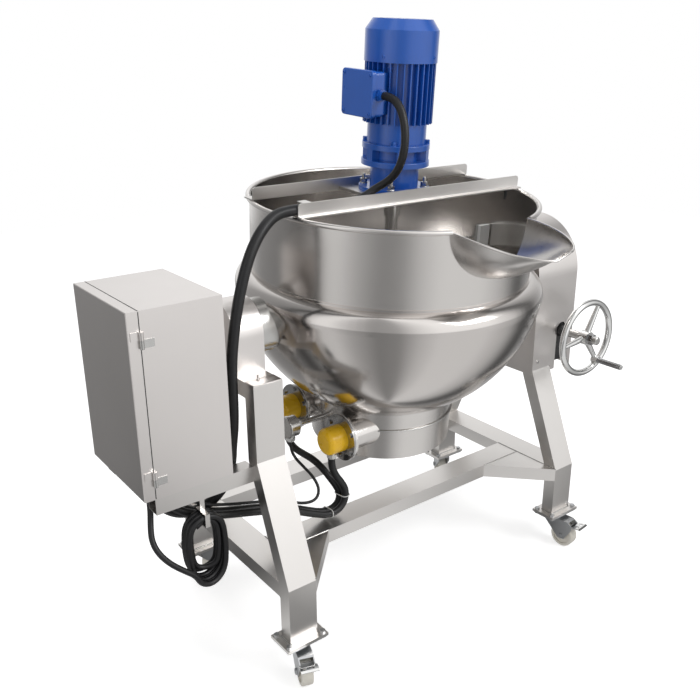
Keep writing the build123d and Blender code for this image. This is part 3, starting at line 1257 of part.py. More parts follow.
LEAF = 1.5
HINGE_Y = CABINET_Y0 - HINGE_RADIUS
HINGE_X = CABINET_FRONT_X
with BuildPart() as cabinet_hinges:
    for level in HINGE_LEVELS:
        with BuildSketch(Plane.XY.offset(level - HINGE_HEIGHT / 2)):
            with Locations((HINGE_X, HINGE_Y)):
                Circle(HINGE_RADIUS)
            with Locations((HINGE_X, CABINET_Y0)):
                Rectangle(30.0, LEAF, align=(Align.MIN, Align.MAX))
        extrude(amount=HINGE_HEIGHT / 2)
        with BuildSketch(Plane.XY.offset(level - HINGE_HEIGHT / 2)):
            with Locations((HINGE_X, HINGE_Y)):
                Circle(2.5)
        extrude(amount=HINGE_HEIGHT)
write(cabinet_hinges, "cabinet_hinges")

DOOR_BACK_X = CABINET_FRONT_X - SEAT_GAP
with BuildPart() as cabinet_door:
    with BuildSketch(Plane.YZ.offset(DOOR_REACH)):
        with Locations((BODY_MID_Y, BODY_MID_Z)):
            Rectangle(BODY_WIDTH, BODY_HEIGHT)
    extrude(amount=DOOR_BACK_X - DOOR_REACH)
    chamfer(cabinet_door.edges().group_by(Axis.X)[0], 1.5)
    with BuildSketch(Plane.YZ.offset(DOOR_REACH + SHEET)):
        with Locations((BODY_MID_Y, BODY_MID_Z)):
            Rectangle(BODY_WIDTH - 2 * SHEET, BODY_HEIGHT - 2 * SHEET)
    extrude(amount=DOOR_THICK, mode=Mode.SUBTRACT)
    for level in HINGE_LEVELS:
        with BuildSketch(Plane.XY.offset(level + SEAT_GAP)):
            with Locations((HINGE_X, HINGE_Y)):
                Circle(HINGE_RADIUS)
            with Locations((DOOR_BACK_X, CABINET_Y0)):
                Rectangle(22.0, LEAF, align=(Align.MAX, Align.MAX))
            with Locations((HINGE_X - HINGE_RADIUS / 2, HINGE_Y)):
                Rectangle(HINGE_RADIUS, HINGE_RADIUS, align=(Align.CENTER, Align.MIN))
            with Locations((HINGE_X, HINGE_Y)):
                Circle(2.5 + RUN_FIT, mode=Mode.SUBTRACT)
        extrude(amount=HINGE_HEIGHT / 2 - SEAT_GAP)
write(cabinet_door, "cabinet_door")

# ======================= hoses and cables =======================


def bend_radii(points):
    """Bend radius at each inner point: as large as the shorter run beside it allows."""
    radii = []
    for before, here, after in zip(points, points[1:], points[2:]):
        run_in = Vector(here) - Vector(before)
        run_out = Vector(after) - Vector(here)
        turn = radians(run_in.get_angle(run_out))
        radii.append(0.45 * min(run_in.length, run_out.length) / tan(turn / 2))
    return radii


FLOOR_Z = CABINET_Z0 - FLOOR_GLAND_DROP  # where the cabinet's floor glands end
MOTOR_CONDUIT = (  # upright kettle, from the terminal box over the front crossbar
    (BOX_GLAND_X, 3 - BOX_HALF_Y - BOX_GLAND_DROP, BOX_GLAND_Z),
    (BOX_GLAND_X, -104, BOX_GLAND_Z),
    (-110, -137, 1372),
    (-110, -156, 1334),
    (-110, -161, 1286),
    (-112, -150, 1239),
    (-118, -124, 1203),
    (-136, -91, 1178),
    (-168, -82, 1157),
    (-210, -83, 1148),
    (-252, -86, 1148),
    (-292, -85, 1150),
    (-330, -85, 1150),
)
TRUNK_HOSE = (  # machine at rest, from the crossbar down between post and cabinet
    at_rest(-330, -85, 1150),
    at_rest(-376, -85, 1150),
    (-425, -112, 1141),
    (-470, -127, 1117),
    (-505, -135, 1076),
    (-527, -137, 1028),
    (-542, -135, 977),
    (-553, -132, 924),
    (-561, -127, 868),
    (-565, -121, 809),
    (-563, -115, 750),
    (-561, -110, 692),
    (-560, -102, 640),
    (-561, -91, 593),
    (-558, -79, 548),
    (-560, -64, 503),
    (-577, -46, 450),
    (-622, -32, 415),
    (-678, -22, 415),
    (-723, -12, 448),
    (*TRUNK_GLAND, 500),
    (*TRUNK_GLAND, FLOOR_Z),
)
FRONT_HEATER_CONDUIT = (  # machine at rest
    at_rest(GLAND_X, -HEATER_Y, GLAND_Z),
    at_rest(GLAND_X, -HEATER_Y, GLAND_Z - 25),
    (-249, -84, 407),
    (-229, -85, 378),
    (-214, -85, 349),
    (-218, -85, 315),
    (-243, -86, 294),
    (-279, -86, 294),
    (-324, -85, 314),
    (-382, -84, 344),
    (-450, -85, 372),
    (-526, -86, 394),
    (-598, -85, 413),
    (-660, -84, 436),
    (-706, -80, 463),
    (-732, -75, 492),
    (*HEATER_GLANDS[0], 512),
    (*HEATER_GLANDS[0], FLOOR_Z),
)
BACK_HEATER_CONDUIT = (  # machine at rest
    at_rest(GLAND_X, HEATER_Y, GLAND_Z),
    at_rest(GLAND_X, HEATER_Y, GLAND_Z - 24),
    (-261, 124, 433),
    (-261, 95, 420),
    (-260, 56, 419),
    (-258, 14, 420),
    (-255, -24, 411),
    (-245, -49, 387),
    (-229, -58, 358),
    (-216, -61, 330),
    (-222, -61, 302),
    (-248, -61, 288),
    (-284, -61, 293),
    (-328, -61, 315),
    (-386, -61, 345),
    (-454, -60, 372),
    (-530, -60, 393),
    (-602, -60, 412),
    (-662, -58, 436),
    (-706, -52, 464),
    (-732, -46, 492),
    (*HEATER_GLANDS[1], 512),
    (*HEATER_GLANDS[1], FLOOR_Z),
)
PROBE_CABLE = (  # machine at rest
    at_rest(PROBE_GLAND_X, 0, PROBE_GLAND_Z),
    at_rest(PROBE_GLAND_X, 0, PROBE_GLAND_Z - 22),
    (-316, 12, 442),
    (-304, -14, 420),
    (-291, -42, 396),
    (-287, -63, 368),
    (-303, -73, 346),
    (-338, -73, 345),
    (-392, -72, 369),
    (-456, -73, 396),
    (-530, -73, 416),
    (-598, -73, 436),
    (-648, -74, 457),
    (-680, -74, 484),
    (*PROBE_CABLE_GLAND, 510),
    (*PROBE_CABLE_GLAND, FLOOR_Z),
)
POWER_CABLE = (  # from the cabinet's floor into the side of the coil
    (*POWER_GLAND, FLOOR_Z),
    (*POWER_GLAND, 508),
    (-774, -75, 482),
    (-784, -92, 457),
    (-793, -110, 429),
    (-784, -119, 404),
    (-764, -124, 387),
    (-738, COIL_Y, 381),
    (COIL_X - COIL_HALF_X, COIL_Y, 381),
)
CORDS = (
    ("motor_conduit", MOTOR_CONDUIT, CONDUIT_DIAMETER, TILTED),
    ("trunk_hose", TRUNK_HOSE, TRUNK_DIAMETER, MACHINE),
    ("front_heater_conduit", FRONT_HEATER_CONDUIT, CONDUIT_DIAMETER, MACHINE),
    ("back_heater_conduit", BACK_HEATER_CONDUIT, CONDUIT_DIAMETER, MACHINE),
    ("probe_cable", PROBE_CABLE, PROBE_CABLE_DIAMETER, MACHINE),
    ("power_cable", POWER_CABLE, CABLE_DIAMETER, MACHINE),
)
for name, points, diameter, place in CORDS:
    radii = bend_radii(points)
    with BuildPart() as cord:
        with BuildLine() as route:
            FilletPolyline(*points, radius=radii)
        path = route.wire()
        with BuildSketch(Plane(origin=path @ 0, z_dir=path % 0)):
            Circle(diameter / 2)
        sweep(path=path)
    write(cord, name, place)
    wanted = pi * diameter**2 / 4 * path.length
    print(
        name,
        "length",
        round(path.length),
        "volume/section",
        round(cord.part.volume / wanted, 4),
        "radii",
        [round(radius) for radius in radii],
    )
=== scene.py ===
from math import cos, floor, pi, radians, sin, sqrt

import bmesh
import bpy
from mathutils import Matrix, Vector


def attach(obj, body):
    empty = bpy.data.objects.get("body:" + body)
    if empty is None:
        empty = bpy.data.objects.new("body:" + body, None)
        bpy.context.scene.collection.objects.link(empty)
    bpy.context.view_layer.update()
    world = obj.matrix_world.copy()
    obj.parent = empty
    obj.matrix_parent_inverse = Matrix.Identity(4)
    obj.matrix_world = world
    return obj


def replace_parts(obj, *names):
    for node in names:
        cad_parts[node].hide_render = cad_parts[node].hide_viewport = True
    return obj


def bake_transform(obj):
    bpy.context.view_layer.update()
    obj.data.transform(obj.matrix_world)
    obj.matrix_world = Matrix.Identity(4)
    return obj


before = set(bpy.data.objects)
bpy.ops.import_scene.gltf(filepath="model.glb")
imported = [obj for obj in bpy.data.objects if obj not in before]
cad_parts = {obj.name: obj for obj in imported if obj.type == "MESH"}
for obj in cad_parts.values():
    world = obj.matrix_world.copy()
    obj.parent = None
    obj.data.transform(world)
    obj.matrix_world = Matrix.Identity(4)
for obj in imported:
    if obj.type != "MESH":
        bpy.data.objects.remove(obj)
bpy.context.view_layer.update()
MM = 0.001

# The machine's own axes: the kettle's axis at X = Y = 0, the trunnions at AXIS_Z, millimetres.
# The frame's origin lies at MIDDLE_X, MIDDLE_Y on the floor. The kettle rests leaning by REST_TILT.
MIDDLE_X = -58.5
MIDDLE_Y = -86.214
AXIS_Z = 850.0
REST_TILT = radians(4.0)


def at(x, y, z):
    """A point of the machine in the frame's metres."""
    return Vector(((x - MIDDLE_X) * MM, (y - MIDDLE_Y) * MM, z * MM))


def at_rest(x, y, z):
    """Where a point of the upright kettle lies at the resting tilt, still in the machine's axes."""
    rise = z - AXIS_Z
    return (x, y * cos(REST_TILT) - rise * sin(REST_TILT), AXIS_Z + y * sin(REST_TILT) + rise * cos(REST_TILT))


def on_kettle(x, y, z):
    """A point of the upright kettle, at rest, in the frame's metres."""
    return at(*at_rest(x, y, z))


# ======================= camera =======================

AZIMUTH = radians(-37.304)
ELEVATION = radians(19.897)
ROLL = radians(-0.364)
FOCAL_PIXELS = 808.14
IMAGE_PIXELS = 700.0
CAMERA_AT = (-1396.1, -1660.0, 1472.4)
SENSOR = 36.0


def make_camera():
    """The camera, from where it stands and the way its frame is turned."""
    back = Vector((sin(AZIMUTH) * cos(ELEVATION), -cos(AZIMUTH) * cos(ELEVATION), sin(ELEVATION)))
    right = (-back).cross(Vector((0, 0, 1))).normalized()
    up = right.cross(-back)
    rolled_right = right * cos(ROLL) + up * sin(ROLL)
    rolled_up = up * cos(ROLL) - right * sin(ROLL)
    lens = bpy.data.cameras.new("camera")
    lens.sensor_width = SENSOR
    lens.lens = FOCAL_PIXELS / IMAGE_PIXELS * SENSOR
    lens.clip_end = 50
    camera = bpy.data.objects.new("camera", lens)
    turn = Matrix((rolled_right, rolled_up, back)).transposed().to_4x4()
    camera.matrix_world = Matrix.Translation(at(*CAMERA_AT)) @ turn
    bpy.context.scene.collection.objects.link(camera)
    bpy.context.scene.camera = camera


make_camera()
bpy.context.scene.view_settings.view_transform = "Standard"

# ======================= shader arithmetic =======================


class Value:
    """A socket's value. Arithmetic on it adds Math nodes to the tree that it belongs to."""

    def __init__(self, nodes, socket):
        self.nodes = nodes
        self.socket = socket

    def math(self, operation, *others):
        return self.nodes.node("ShaderNodeMath", {"operation": operation}, self, *others)

    def part(self, name):
        """Another output of the node that this value comes from."""
        return Value(self.nodes, self.socket.node.outputs[name])

    def __add__(self, other):
        return self.math("ADD", other)

    def __sub__(self, other):
        return self.math("SUBTRACT", other)

    def __mul__(self, other):
        return self.math("MULTIPLY", other)

    def __radd__(self, other):
        return self.math("ADD", other)

    def __rmul__(self, other):
        return self.math("MULTIPLY", other)

    def __rsub__(self, other):
        return self.math("MULTIPLY_ADD", -1.0, other)

    def below(self, limit):
        return self.math("LESS_THAN", limit)

    def above(self, limit):
        return self.math("GREATER_THAN", limit)


class Nodes:
    """The nodes of one tree."""

    def __init__(self, tree):
        self.tree = tree

    def node(self, kind, settings, *inputs, output=0, **named):
        """One node: its settings first, then the values or links of its sockets."""
        made = self.tree.nodes.new(kind)
        for key, value in settings.items():
            if key == "stops":
                ramp = made.color_ramp
                for index, (place, shade) in enumerate(value):
                    stop = ramp.elements[index] if index < 2 else ramp.elements.new(place)
                    stop.position = place
                    stop.color = (shade, shade, shade, 1)
            else:
                setattr(made, key, value)
        pairs = list(enumerate(inputs)) + [(key.replace("_", " "), value) for key, value in named.items()]
        for key, value in pairs:
            socket = made.inputs[key]
            if isinstance(value, Value):
                self.tree.links.new(value.socket, socket)
            else:
                socket.default_value = value
        return Value(self, made.outputs[output])


class Finish(Nodes):
    """A material with one Principled shader, and the nodes that feed it."""

    def __init__(self, name, **uniform):
        self.material = bpy.data.materials.new(name)
        self.material.use_nodes = True
        super().__init__(self.material.node_tree)
        self.shader = self.tree.nodes["Principled BSDF"]
        for key, value in uniform.items():
            self.shader.inputs[key.replace("_", " ").title()].default_value = value

    def feed(self, socket, value):
        self.tree.links.new(value.socket, self.shader.inputs[socket])

    def place(self):
        """The piece's own coordinates, in metres, as three values."""
        whole = self.node("ShaderNodeTexCoord", {}, output="Object")
        split = self.node("ShaderNodeSeparateXYZ", {}, whole)
        return whole, [split.part(axis) for axis in "XYZ"]

    def upright(self):
        """The same place as seen from the kettle: X and Y from its axis, Z up its axis, in metres."""
        _, (x, y, z) = self.place()
        axis = at(0, 0, AXIS_Z)
        depth, rise = y - axis.y, z - axis.z
        level = depth * cos(REST_TILT) + rise * sin(REST_TILT)
        height = rise * cos(REST_TILT) - depth * sin(REST_TILT) + axis.z
        return x - axis.x, level, height

    def vector(self, x, y, z):
        return self.node("ShaderNodeCombineXYZ", {}, x, y, z)

    def noise(self, where, scale, detail=3.0, roughness=0.5):
        return self.node(
            "ShaderNodeTexNoise", {}, Vector=where, Scale=scale, Detail=detail, Roughness=roughness
        )

    def mix(self, share, first, second):
        """Two colours, mixed by share."""
        low, high = (end if isinstance(end, Value) else (*end, 1) for end in (first, second))
        return self.node("ShaderNodeMix", {"data_type": "RGBA"}, Factor=share, A=low, B=high, output="Result")

    def bump(self, height, strength, distance=0.001):
        self.feed(
            "Normal",
            self.node("ShaderNodeBump", {}, Strength=strength, Distance=distance, Height=height),
        )


# ======================= finishes =======================

GRAIN_ALONG, GRAIN_ACROSS = 9.0, 700.0  # scratches per metre, along the brushing and across it
TURNED_ROUND, TURNED_ACROSS = 4.0, 750.0  # per radian round a turned piece, and per metre across its lines


def brushed_steel(name, light, dark, gloss, grain, strength=0.03, streak=0.0):
    """Brushed stainless steel. grain is X, Y or Z for straight brushing and "round" for a turned piece."""
    steel = Finish(name, metallic=1.0, anisotropic=streak)
    whole, (x, y, z) = steel.place()
    if grain == "round":
        across, level, height = steel.upright()
        turn = across.math("ARCTAN2", level)
        reach = (across * across + level * level).math("SQRT")
        lines = steel.vector(turn * TURNED_ROUND, reach * TURNED_ACROSS, height * TURNED_ACROSS)
    else:
        pitches = [GRAIN_ALONG if axis == grain else GRAIN_ACROSS for axis in "XYZ"]
        lines = steel.vector(*(part * pitch for part, pitch in zip((x, y, z), pitches)))
    scratch = steel.noise(lines, 1.0, 5.0, 0.7)
    cloud = steel.noise(whole, 5.0, 3.0, 0.55)
    handled = steel.noise(whole, 16.0, 5.0, 0.6)
    steel.feed("Base Color", steel.mix(cloud * 0.75 + scratch * 0.25, dark, light))
    steel.feed("Roughness", gloss + (scratch - 0.5) * 0.12 + (handled - 0.5) * 0.08)
    steel.bump(scratch, strength, 0.0004)
    return steel.material


def polished_steel(name, color, gloss):
    """Chrome or polished steel with faint handling marks."""
    steel = Finish(name, metallic=1.0)
    whole, _ = steel.place()
    cloud = steel.noise(whole, 30.0, 4.0, 0.6)
    fine = steel.noise(whole, 900.0, 2.0, 0.5)
    steel.feed("Base Color", steel.mix(cloud, tuple(c * 0.86 for c in color), color))
    steel.feed("Roughness", gloss + (cloud - 0.5) * 0.08)
    steel.bump(fine, 0.03, 0.0003)
    return steel.material


def motor_paint(name, color):
    """Gloss enamel over cast and pressed metal, with a faint orange peel."""
    paint = Finish(name, coat_weight=0.5, coat_roughness=0.12)
    whole, _ = paint.place()
    peel = paint.noise(whole, 260.0, 2.0, 0.5)
    cloud = paint.noise(whole, 14.0, 3.0, 0.5)
    paint.feed("Base Color", paint.mix(cloud, tuple(c * 0.82 for c in color), color))
    paint.feed("Roughness", 0.3 + (cloud - 0.5) * 0.14)
    paint.bump(peel, 0.12, 0.0006)
    return paint.material


def moulded_plastic(name, color, gloss, grain=500.0, strength=0.08):
    """Moulded plastic or rubber with a fine grain and slight shading of its colour."""
    plastic = Finish(name)
    whole, _ = plastic.place()
    fine = plastic.noise(whole, grain, 3.0, 0.6)
    cloud = plastic.noise(whole, 22.0, 3.0, 0.55)
    plastic.feed("Base Color", plastic.mix(cloud, tuple(c * 0.84 for c in color), color))
    plastic.feed("Roughness", gloss + (cloud - 0.5) * 0.12)
    plastic.bump(fine, strength, 0.0004)
    return plastic.material


GASKET_FACE_X, GASKET_BACK_X = -227.9, -224.9


def heater_steel(name):
    """Polished flanges and bright element tubes, with a white gasket behind each flange."""
    steel = Finish(name)
    whole, (x, y, z) = steel.place()
    gasket = x.above(at(GASKET_FACE_X, 0, 0).x) * x.below(at(GASKET_BACK_X, 0, 0).x)
    cloud = steel.noise(whole, 25.0, 4.0, 0.6)
    metal = steel.mix(cloud, (0.36, 0.355, 0.35), (0.52, 0.515, 0.51))
    steel.feed("Base Color", steel.mix(gasket, metal, (0.85, 0.85, 0.83)))
    steel.feed("Metallic", 1 - gasket)
    steel.feed("Roughness", 0.2 + gasket * 0.4 + (cloud - 0.5) * 0.1)
    return steel.material


GLAND_TOP = 0.4862  # metres up the upright kettle's axis


def heater_cap_finish(name):
    """Glossy yellow plastic cap with a nickel-plated gland below it."""
    cap = Finish(name)
    whole, _ = cap.place()
    _, _, height = cap.upright()
    gland = height.below(GLAND_TOP)
    cloud = cap.noise(whole, 24.0, 3.0, 0.55)
    fine = cap.noise(whole, 600.0, 2.0, 0.5)
    yellow = cap.mix(cloud, (0.78, 0.44, 0.01), (0.88, 0.54, 0.015))
    cap.feed("Base Color", cap.mix(gland, yellow, (0.6, 0.59, 0.56)))
    cap.feed("Metallic", gland)
    cap.feed("Roughness", 0.28 + (cloud - 0.5) * 0.12)
    cap.bump(fine, 0.05, 0.0003)
    return cap.material


PLATE_FACE_X = -608.9


def switch_plastic(name):
    """Switchgear: pale modules on a galvanised plate."""
    plastic = Finish(name)
    whole, (x, y, z) = plastic.place()
    plate = x.above(at(PLATE_FACE_X, 0, 0).x)
    cloud = plastic.noise(whole, 20.0, 3.0, 0.5)
    pale = plastic.mix(cloud, (0.62, 0.62, 0.6), (0.74, 0.74, 0.72))
    plastic.feed("Base Color", plastic.mix(plate, pale, (0.5, 0.51, 0.52)))
    plastic.feed("Metallic", plate * 0.9)
    plastic.feed("Roughness", 0.42 + (cloud - 0.5) * 0.2)
    return plastic.material


STEEL_LIGHT = (0.77, 0.745, 0.72)
STEEL_DARK = (0.69, 0.67, 0.65)
STAND_LENGTHWISE = brushed_steel("stainless_tube_x", STEEL_LIGHT, STEEL_DARK, 0.33, "X")
STAND_DEPTHWISE = brushed_steel("stainless_tube_y", STEEL_LIGHT, STEEL_DARK, 0.33, "Y")
STAND_UPRIGHT = brushed_steel("stainless_tube_z", STEEL_LIGHT, STEEL_DARK, 0.33, "Z")
SHEET_UPRIGHT = brushed_steel("stainless_sheet", (0.79, 0.755, 0.735), (0.72, 0.69, 0.67), 0.34, "Z")
KETTLE_TURNED = brushed_steel("stainless_turned", (0.74, 0.715, 0.69), (0.68, 0.655, 0.635), 0.22, "round", 0.02, 0.4)
JACKET_TURNED = brushed_steel("stainless_jacket", (0.67, 0.64, 0.615), (0.61, 0.58, 0.56), 0.15, "round", 0.02, 0.25)
SPOUT_STEEL = brushed_steel("stainless_spout", (0.66, 0.635, 0.615), (0.59, 0.57, 0.55), 0.29, "round", 0.02)
BAR_STEEL = brushed_steel("stainless_bar", (0.72, 0.7, 0.68), (0.65, 0.63, 0.61), 0.36, "X")
MACHINED = polished_steel("machined_stainless", (0.62, 0.615, 0.6), 0.26)
CHROME = polished_steel("chrome", (0.8, 0.8, 0.79), 0.1)
DARK_CHROME = polished_steel("dark_chrome", (0.36, 0.36, 0.365), 0.16)
ZINC = polished_steel("zinc_plate", (0.56, 0.57, 0.58), 0.36)
BLUE = motor_paint("motor_blue", (0.008, 0.09, 0.43))
YELLOW = heater_cap_finish("cap_yellow")
NYLON = moulded_plastic("wheel_nylon", (0.72, 0.69, 0.62), 0.42)
CONDUIT_BLACK = moulded_plastic("conduit_black", (0.007, 0.007, 0.008), 0.42)
CABLE_BLACK = moulded_plastic("cable_black", (0.006, 0.006, 0.007), 0.45)
BEARING_BLACK = moulded_plastic("bearing_black", (0.02, 0.02, 0.021), 0.4)
BEARING_IRON = moulded_plastic("bearing_iron", (0.09, 0.09, 0.095), 0.5)
TIE_WHITE = moulded_plastic("tie_white", (0.8, 0.8, 0.78), 0.4)
PTFE = moulded_plastic("scraper_white", (0.82, 0.82, 0.8), 0.45)
BRONZE = polished_steel("bronze", (0.62, 0.43, 0.2), 0.3)

NODE_FINISHES = {
    STAND_UPRIGHT: ("left_legs", "right_legs"),
    STAND_DEPTHWISE: ("cross_beams", "bearing_beams", "foot_plates", "gussets"),
    STAND_LENGTHWISE: ("long_beams", "cabinet_shelf", "worm_bracket"),
    SHEET_UPRIGHT: ("trunnion_cover", "gear_housing", "cabinet_body", "cabinet_door"),
    KETTLE_TURNED: ("bowl", "heating_chamber"),
    JACKET_TURNED: ("jacket",),
    BAR_STEEL: ("crossbars", "motor_plate", "spout"),
    MACHINED: (
        "left_trunnion", "right_trunnion", "worm_shaft",
        "agitator_shaft", "agitator_anchor", "cabinet_hinges", "temperature_probe",
    ),
    CHROME: ("handwheel", "brake_front_left", "brake_front_right"),
    DARK_CHROME: ("crank_handle", "handwheel_nut"),
    ZINC: ("caster_plates", "fork_front_left", "fork_front_right", "fork_back_left", "fork_back_right"),
    NYLON: ("wheel_front_left", "wheel_front_right", "wheel_back_left", "wheel_back_right"),
    BLUE: ("reducer", "motor_adapter", "motor_stator", "fan_cover", "terminal_box", "terminal_lid"),
    YELLOW: ("heater_caps",),
    heater_steel("heater_steel"): ("heater_elements",),
    switch_plastic("switchgear"): ("control_gear",),
    BRONZE: ("worm_wheel",),
    PTFE: ("scrapers",),
    BEARING_BLACK: ("worm_bearing",),
    BEARING_IRON: ("bearing_blocks",),
}
for material, nodes in NODE_FINISHES.items():
    for node in nodes:
        cad_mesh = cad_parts[node].data
        cad_mesh.materials.clear()
        cad_mesh.materials.append(material)

# ======================= hoses and cables =======================

FLOOR_Z = 531.0  # where the cabinet's floor glands end
MOTOR_CONDUIT = [
    at_rest(*point)
    for point in (
        (-108, -73, 1392), (-108, -104, 1392), (-110, -137, 1372), (-110, -156, 1334), (-110, -161, 1286),
        (-112, -150, 1239), (-118, -124, 1203), (-136, -91, 1178), (-168, -82, 1157), (-210, -83, 1148),
        (-252, -86, 1148), (-292, -85, 1150), (-330, -85, 1150),
    )
]
TRUNK_HOSE = [
    at_rest(-330, -85, 1150), at_rest(-376, -85, 1150),
    (-425, -112, 1141), (-470, -127, 1117), (-505, -135, 1076), (-527, -137, 1028), (-542, -135, 977),
    (-553, -132, 924), (-561, -127, 868), (-565, -121, 809), (-563, -115, 750), (-561, -110, 692),
    (-560, -102, 640), (-561, -91, 593), (-558, -79, 548), (-560, -64, 503), (-577, -46, 450),
    (-622, -32, 415), (-678, -22, 415), (-723, -12, 448), (-740, -4, 500), (-740, -4, FLOOR_Z),
]
FRONT_HEATER_CONDUIT = [
    at_rest(-260, -111, 470), at_rest(-260, -111, 445),
    (-249, -84, 407), (-229, -85, 378), (-214, -85, 349), (-218, -85, 315), (-243, -86, 294),
    (-279, -86, 294), (-324, -85, 314), (-382, -84, 344), (-450, -85, 372), (-526, -86, 394),
    (-598, -85, 413), (-660, -84, 436), (-706, -80, 463), (-732, -75, 492), (-738, -74, 512),
    (-738, -74, FLOOR_Z),
]
BACK_HEATER_CONDUIT = [
    at_rest(-260, 111, 470), at_rest(-260, 111, 446),
    (-261, 124, 433), (-261, 95, 420), (-260, 56, 419), (-258, 14, 420), (-255, -24, 411),
    (-245, -49, 387), (-229, -58, 358), (-216, -61, 330), (-222, -61, 302), (-248, -61, 288),
    (-284, -61, 293), (-328, -61, 315), (-386, -61, 345), (-454, -60, 372), (-530, -60, 393),
    (-602, -60, 412), (-662, -58, 436), (-706, -52, 464), (-732, -46, 492), (-738, -44, 512),
    (-738, -44, FLOOR_Z),
]
PROBE_CABLE = [
    at_rest(-319, 0, 489), at_rest(-319, 0, 467),
    (-316, 12, 442), (-304, -14, 420), (-291, -42, 396), (-287, -63, 368), (-303, -73, 346),
    (-338, -73, 345), (-392, -72, 369), (-456, -73, 396), (-530, -73, 416), (-598, -73, 436),
    (-648, -74, 457), (-680, -74, 484), (-690, -73, 510), (-690, -73, FLOOR_Z),
]
COIL_X, COIL_Y, COIL_Z = -667.0, -126.0, 378.0
POWER_CABLE_DIAMETER = 14.0
POWER_LEAD = [
    (-768, -60, FLOOR_Z), (-768, -60, 508), (-774, -75, 482), (-784, -92, 457), (-792, -110, 429),
    (-786, -128, 402), (-766, -142, 374), (-740, -151, 350),
]
TURN_SPACING = 14.7
TURN_REACH = 47.5  # from the coil's middle line to the cable of its outer turns
FIRST_LANE = -14.6
COIL_STRAIGHT = 35.0
TURN_POINTS = 16
COIL_POINTS = 78
COIL_TURNS = 5
COIL_HANG = 2.4  # how much lower the bottom of each earlier turn hangs
COIL_FAN = 0.18  # how much farther apart the lanes lie at the bottom
ROUTE_STEPS = 12


def limited(value, low, high):
    """The value, kept between low and high."""
    return max(low, min(high, value))


def turn_place(count):
    """Where turn number count lies in the bundle, as (lane, reach), each turn beside the one before."""
    if count <= 1:
        return FIRST_LANE + TURN_SPACING * count, TURN_REACH
    lane, reach = turn_place(count - 1)
    heading = radians(-120 * limited(count - 2, 0, 1) - 60 * limited(count - 3, 0, 1))
    return lane + TURN_SPACING * cos(heading), reach + TURN_SPACING * sin(heading)


def coil_points():
    """Turns that lie in order at the strap, change places below it and fan out at the bottom."""
    points = []
    for step in range(1, COIL_POINTS + 1):
        turn = step / TURN_POINTS
        from_strap = turn - 0.75
        whole = floor(from_strap)
        share = limited((from_strap - whole - 0.2) / 0.6, 0, 1)
        lane, reach = turn_place(whole + share * share * (3 - 2 * share))
        angle = pi + 2 * pi * turn
        low = max(0.0, -sin(angle))
        lift = COIL_STRAIGHT * limited(sin(angle) / 0.45, -1, 1) - COIL_HANG * (COIL_TURNS - turn) * low
        points.append(
            (COIL_X + reach * cos(angle), COIL_Y + lane * (1 + COIL_FAN * low), COIL_Z + lift + reach * sin(angle))
        )
    return points


def smooth_line(points, name):
    """The route's own smooth line, as a list of points in metres."""
    route = bpy.data.curves.new(name, "CURVE")
    route.dimensions = "3D"
    spline = route.splines.new("NURBS")
    spline.points.add(len(points) - 1)
    for vertex, point in zip(spline.points, points):
        vertex.co = (*at(*point), 1)
    spline.order_u = 3
    spline.use_endpoint_u = True
    spline.resolution_u = ROUTE_STEPS
    holder = bpy.data.objects.new(name, route)
    bpy.context.scene.collection.objects.link(holder)
    bpy.context.view_layer.update()
    line_mesh = bpy.data.meshes.new_from_object(holder)
    line = [vertex.co.copy() for vertex in line_mesh.vertices]
    bpy.data.meshes.remove(line_mesh)
    bpy.data.objects.remove(holder)
    return line


def even_steps(line, step):
    """The same line, with points at even steps along it."""
    lengths = [0.0]
    for before, after in zip(line, line[1:]):
        lengths.append(lengths[-1] + (after - before).length)
    count = max(2, round(lengths[-1] / step))
    result, index = [], 0
    for place in range(count + 1):
        wanted = lengths[-1] * place / count
        while index < len(line) - 2 and lengths[index + 1] < wanted:
            index += 1
        span = lengths[index + 1] - lengths[index]
        share = (wanted - lengths[index]) / span if span else 0.0
        result.append(line[index].lerp(line[index + 1], share))
    return result, lengths[-1]


def mesh_piece(name, vertices, faces, material):
    """A smooth mesh of its own, in the scene."""
    mesh = bpy.data.meshes.new(name)
    mesh.from_pydata([tuple(v) for v in vertices], [], faces)
    mesh.materials.append(material)
    for face in mesh.polygons:
        face.use_smooth = True
    mesh.update()
    piece = bpy.data.objects.new(name, mesh)
    bpy.context.scene.collection.objects.link(piece)
    return piece


def tube(name, path, radius_at, sides, material):
    """A closed tube along path. radius_at gives the radius at each point of it."""
    vertices, faces = [], []
    along = (path[1] - path[0]).normalized()
    side = along.orthogonal().normalized()
    for index, point in enumerate(path):
        before, after = path[max(index - 1, 0)], path[min(index + 1, len(path) - 1)]
        along = (after - before).normalized()
        side = (side - along * side.dot(along)).normalized()
        other = along.cross(side)
        radius = radius_at(index)
        for corner in range(sides):
            angle = 2 * pi * corner / sides
            vertices.append(point + (side * cos(angle) + other * sin(angle)) * radius)
    for ring in range(len(path) - 1):
        for corner in range(sides):
            here, following = ring * sides + corner, ring * sides + (corner + 1) % sides
            faces.append((here, following, following + sides, here + sides))
    faces.append(tuple(reversed(range(sides))))
    faces.append(tuple(range((len(path) - 1) * sides, len(path) * sides)))
    return mesh_piece(name, vertices, faces, material)


RIB_PITCH = 0.0042
RIB_DEPTH = 0.0007
HEATER_CONDUIT_DIAMETER = 20.0


def conduit(name, points, diameter, node):
    """Flexible conduit with ribs round it, in place of its plain solid."""
    path, length = even_steps(smooth_line(points, name + "_route"), RIB_PITCH / 3)
    radius = diameter * MM / 2
    piece = tube(name, path, lambda i: radius - (RIB_DEPTH if i % 3 == 2 else 0.0), 20, CONDUIT_BLACK)
    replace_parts(piece, node)
    at(*points[0])
    return piece


